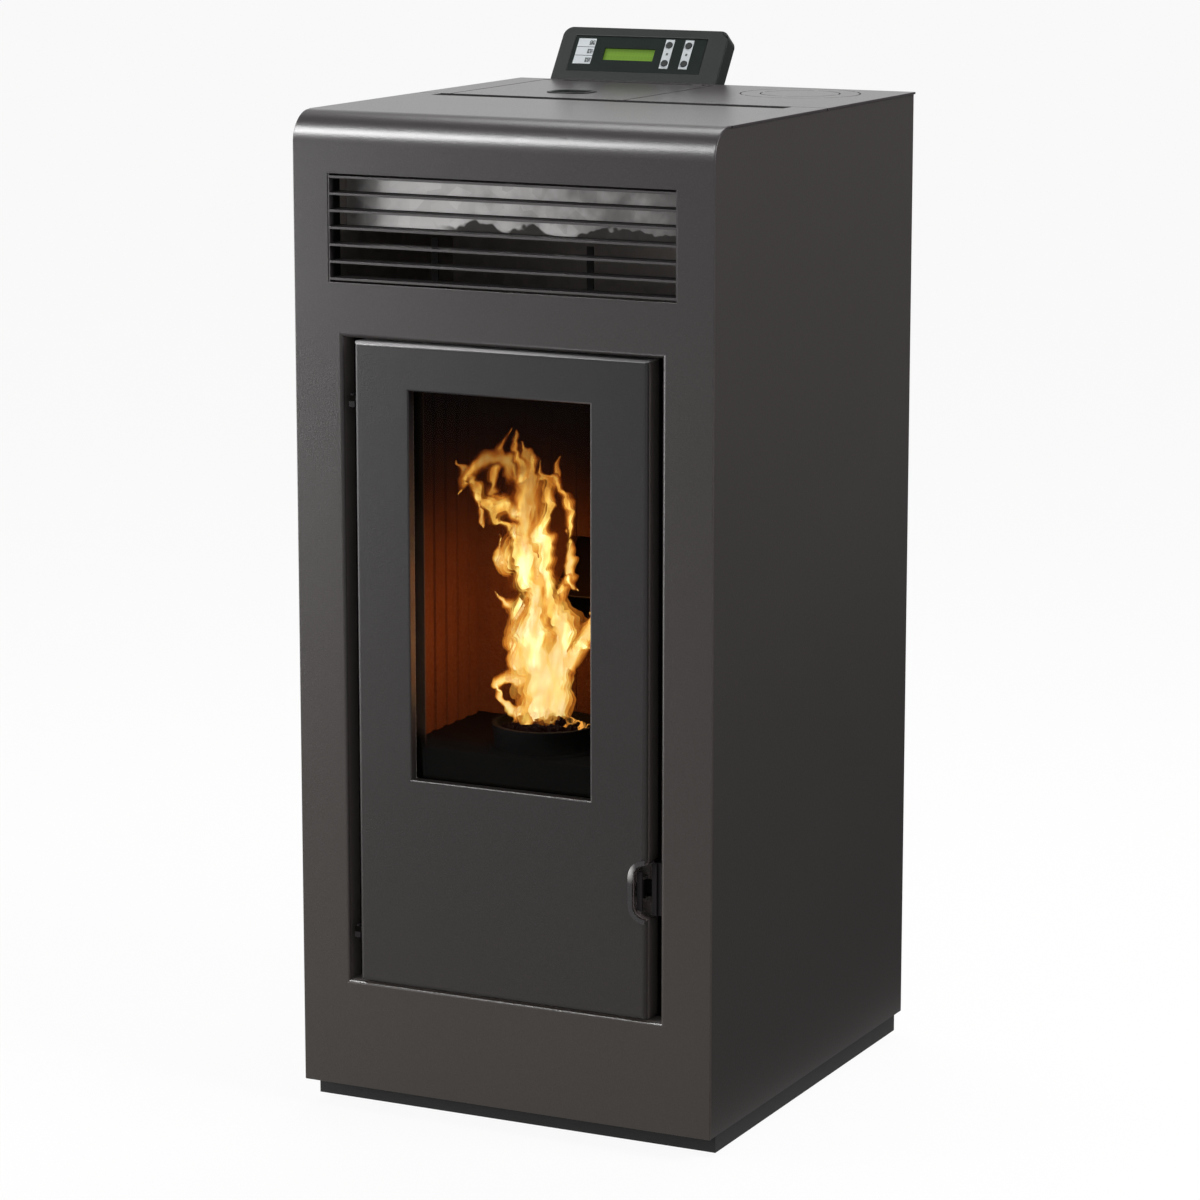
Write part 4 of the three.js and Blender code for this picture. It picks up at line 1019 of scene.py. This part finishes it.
black_plastic = moulded_plastic("black_plastic", (0.008, 0.010, 0.010), 0.5, 0.00008)
key_rubber = moulded_plastic("key_rubber", (0.018, 0.021, 0.021), 0.6, 0.00005)
foot_rubber = moulded_plastic("foot_rubber", (0.010, 0.010, 0.010), 0.75, 0.0002)
eased("panel_housing", "panel_shell", "casing", black_plastic, 0.0014, 3)
coat(panel_film(), "panel_fascia")
coat(backlit_display(), "panel_display")
for number in range(1, 5):
    eased(f"panel_button_{number}", f"key_{number}", f"button_{number}", key_rubber, 0.0005)
eased("lid_pull", "lid_finger_cup", "lid", black_plastic, 0.0004)
coat(black_plastic, "mains_inlet", "room_fan_wheel")
eased("power_rocker", "rocker_cap", "rocker", key_rubber, 0.0006)
coat(foot_rubber, *[f"levelling_foot_{number}" for number in range(1, 5)])

motor_paint = gloss_enamel("motor_paint", (0.030, 0.030, 0.032), 0.42)
coat(motor_paint, "exhaust_fan_motor", "room_fan_motor", "auger_motor")


def circuit_board():
    board = new_finish("circuit_board")
    place = board.place()
    track = board.cells(place, 90.0).fade(0.28, 0.30)
    return board.principled(
        Base_Color=board.mix(track, (0.010, 0.060, 0.022), (0.020, 0.110, 0.040)), Roughness=0.35,
        Normal=board.bump(track, 0.0001))


coat(circuit_board(), "control_board")

# ---------------------------------------------------------------------------------------------
# The screws: zinc-plated pan heads with a hexagon recess that hold the back, the panel's bracket,
# the inlet and the glass clamp. One head is turned and its recess sunk, and the rest are copies.


def screw_head(radius, height):
    """A pan head that stands on the origin, with its crown rounded and its recess cut."""
    bpy.ops.mesh.primitive_cylinder_add(
        vertices=20, radius=radius, depth=height, location=(0.0, 0.0, height / 2))
    head = bpy.context.object
    crown = head.modifiers.new("crown", "BEVEL")
    crown.width = height * 0.45
    crown.segments = 3
    crown.limit_method = "ANGLE"
    apply_modifiers(head)
    bpy.ops.mesh.primitive_cylinder_add(
        vertices=6, radius=radius * 0.45, depth=height, location=(0.0, 0.0, height * 0.9))
    recess = bpy.context.object
    cut = head.modifiers.new("recess", "BOOLEAN")
    cut.operation = "DIFFERENCE"
    cut.solver = "EXACT"
    cut.object = recess
    apply_modifiers(head)
    bpy.data.objects.remove(recess)
    return head


def screws(name, body, radius, spots, facing):
    """Copies of one screw head, each with its seat at a spot and turned to face outwards."""
    head = screw_head(radius, radius * 0.55)
    turn = Vector((0.0, 0.0, 1.0)).rotation_difference(Vector(facing)).to_matrix().to_4x4()
    copies = []
    for index, spot in enumerate(spots):
        copy = bpy.data.objects.new(name, head.data.copy())
        bpy.context.scene.collection.objects.link(copy)
        copy.data.transform(Matrix.Translation(Vector(spot)) @ turn @ Matrix.Rotation(index * 0.7, 4, "Z"))
        copies.append(copy)
    bpy.data.objects.remove(head)
    bpy.ops.object.select_all(action="DESELECT")
    for copy in copies:
        copy.select_set(True)
    bpy.context.view_layer.objects.active = copies[0]
    bpy.ops.object.join()
    return finished(bpy.context.object, name, body, bright_steel, 40.0)


BACKWARDS = (0.0, 1.0, 0.0)
LOWEST_SCREW = 0.06
back_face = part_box("back_panel")[1].y
side_spots = [
    (side * 0.238, back_face, z) for side in (-1, 1) for z in (LOWEST_SCREW, 0.31, 0.57, 0.83, 1.085)]
foot_spots = [(x, back_face, LOWEST_SCREW) for x in (-0.12, 0.05)]
screws("back_screws", "casing", 0.004, side_spots + foot_spots, BACKWARDS)
bracket_face = back_face + 0.0028
screws("bracket_screws", "casing", 0.0035,
       [(PANEL_X + x, bracket_face, 1.056) for x in (-0.05, 0.0, 0.05)], BACKWARDS)
inlet_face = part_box("mains_inlet")[1].y
screws("inlet_screws", "casing", 0.0025,
       [(-0.2095, inlet_face, 0.0785), (-0.1305, inlet_face, 0.1215)], BACKWARDS)
clamp_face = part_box("glass_clamp")[1].y
screws("clamp_screws", "door", 0.004,
       [(side * 0.1315, clamp_face, z) for side in (-1, 1) for z in (0.44, 0.60, 0.76)], BACKWARDS)
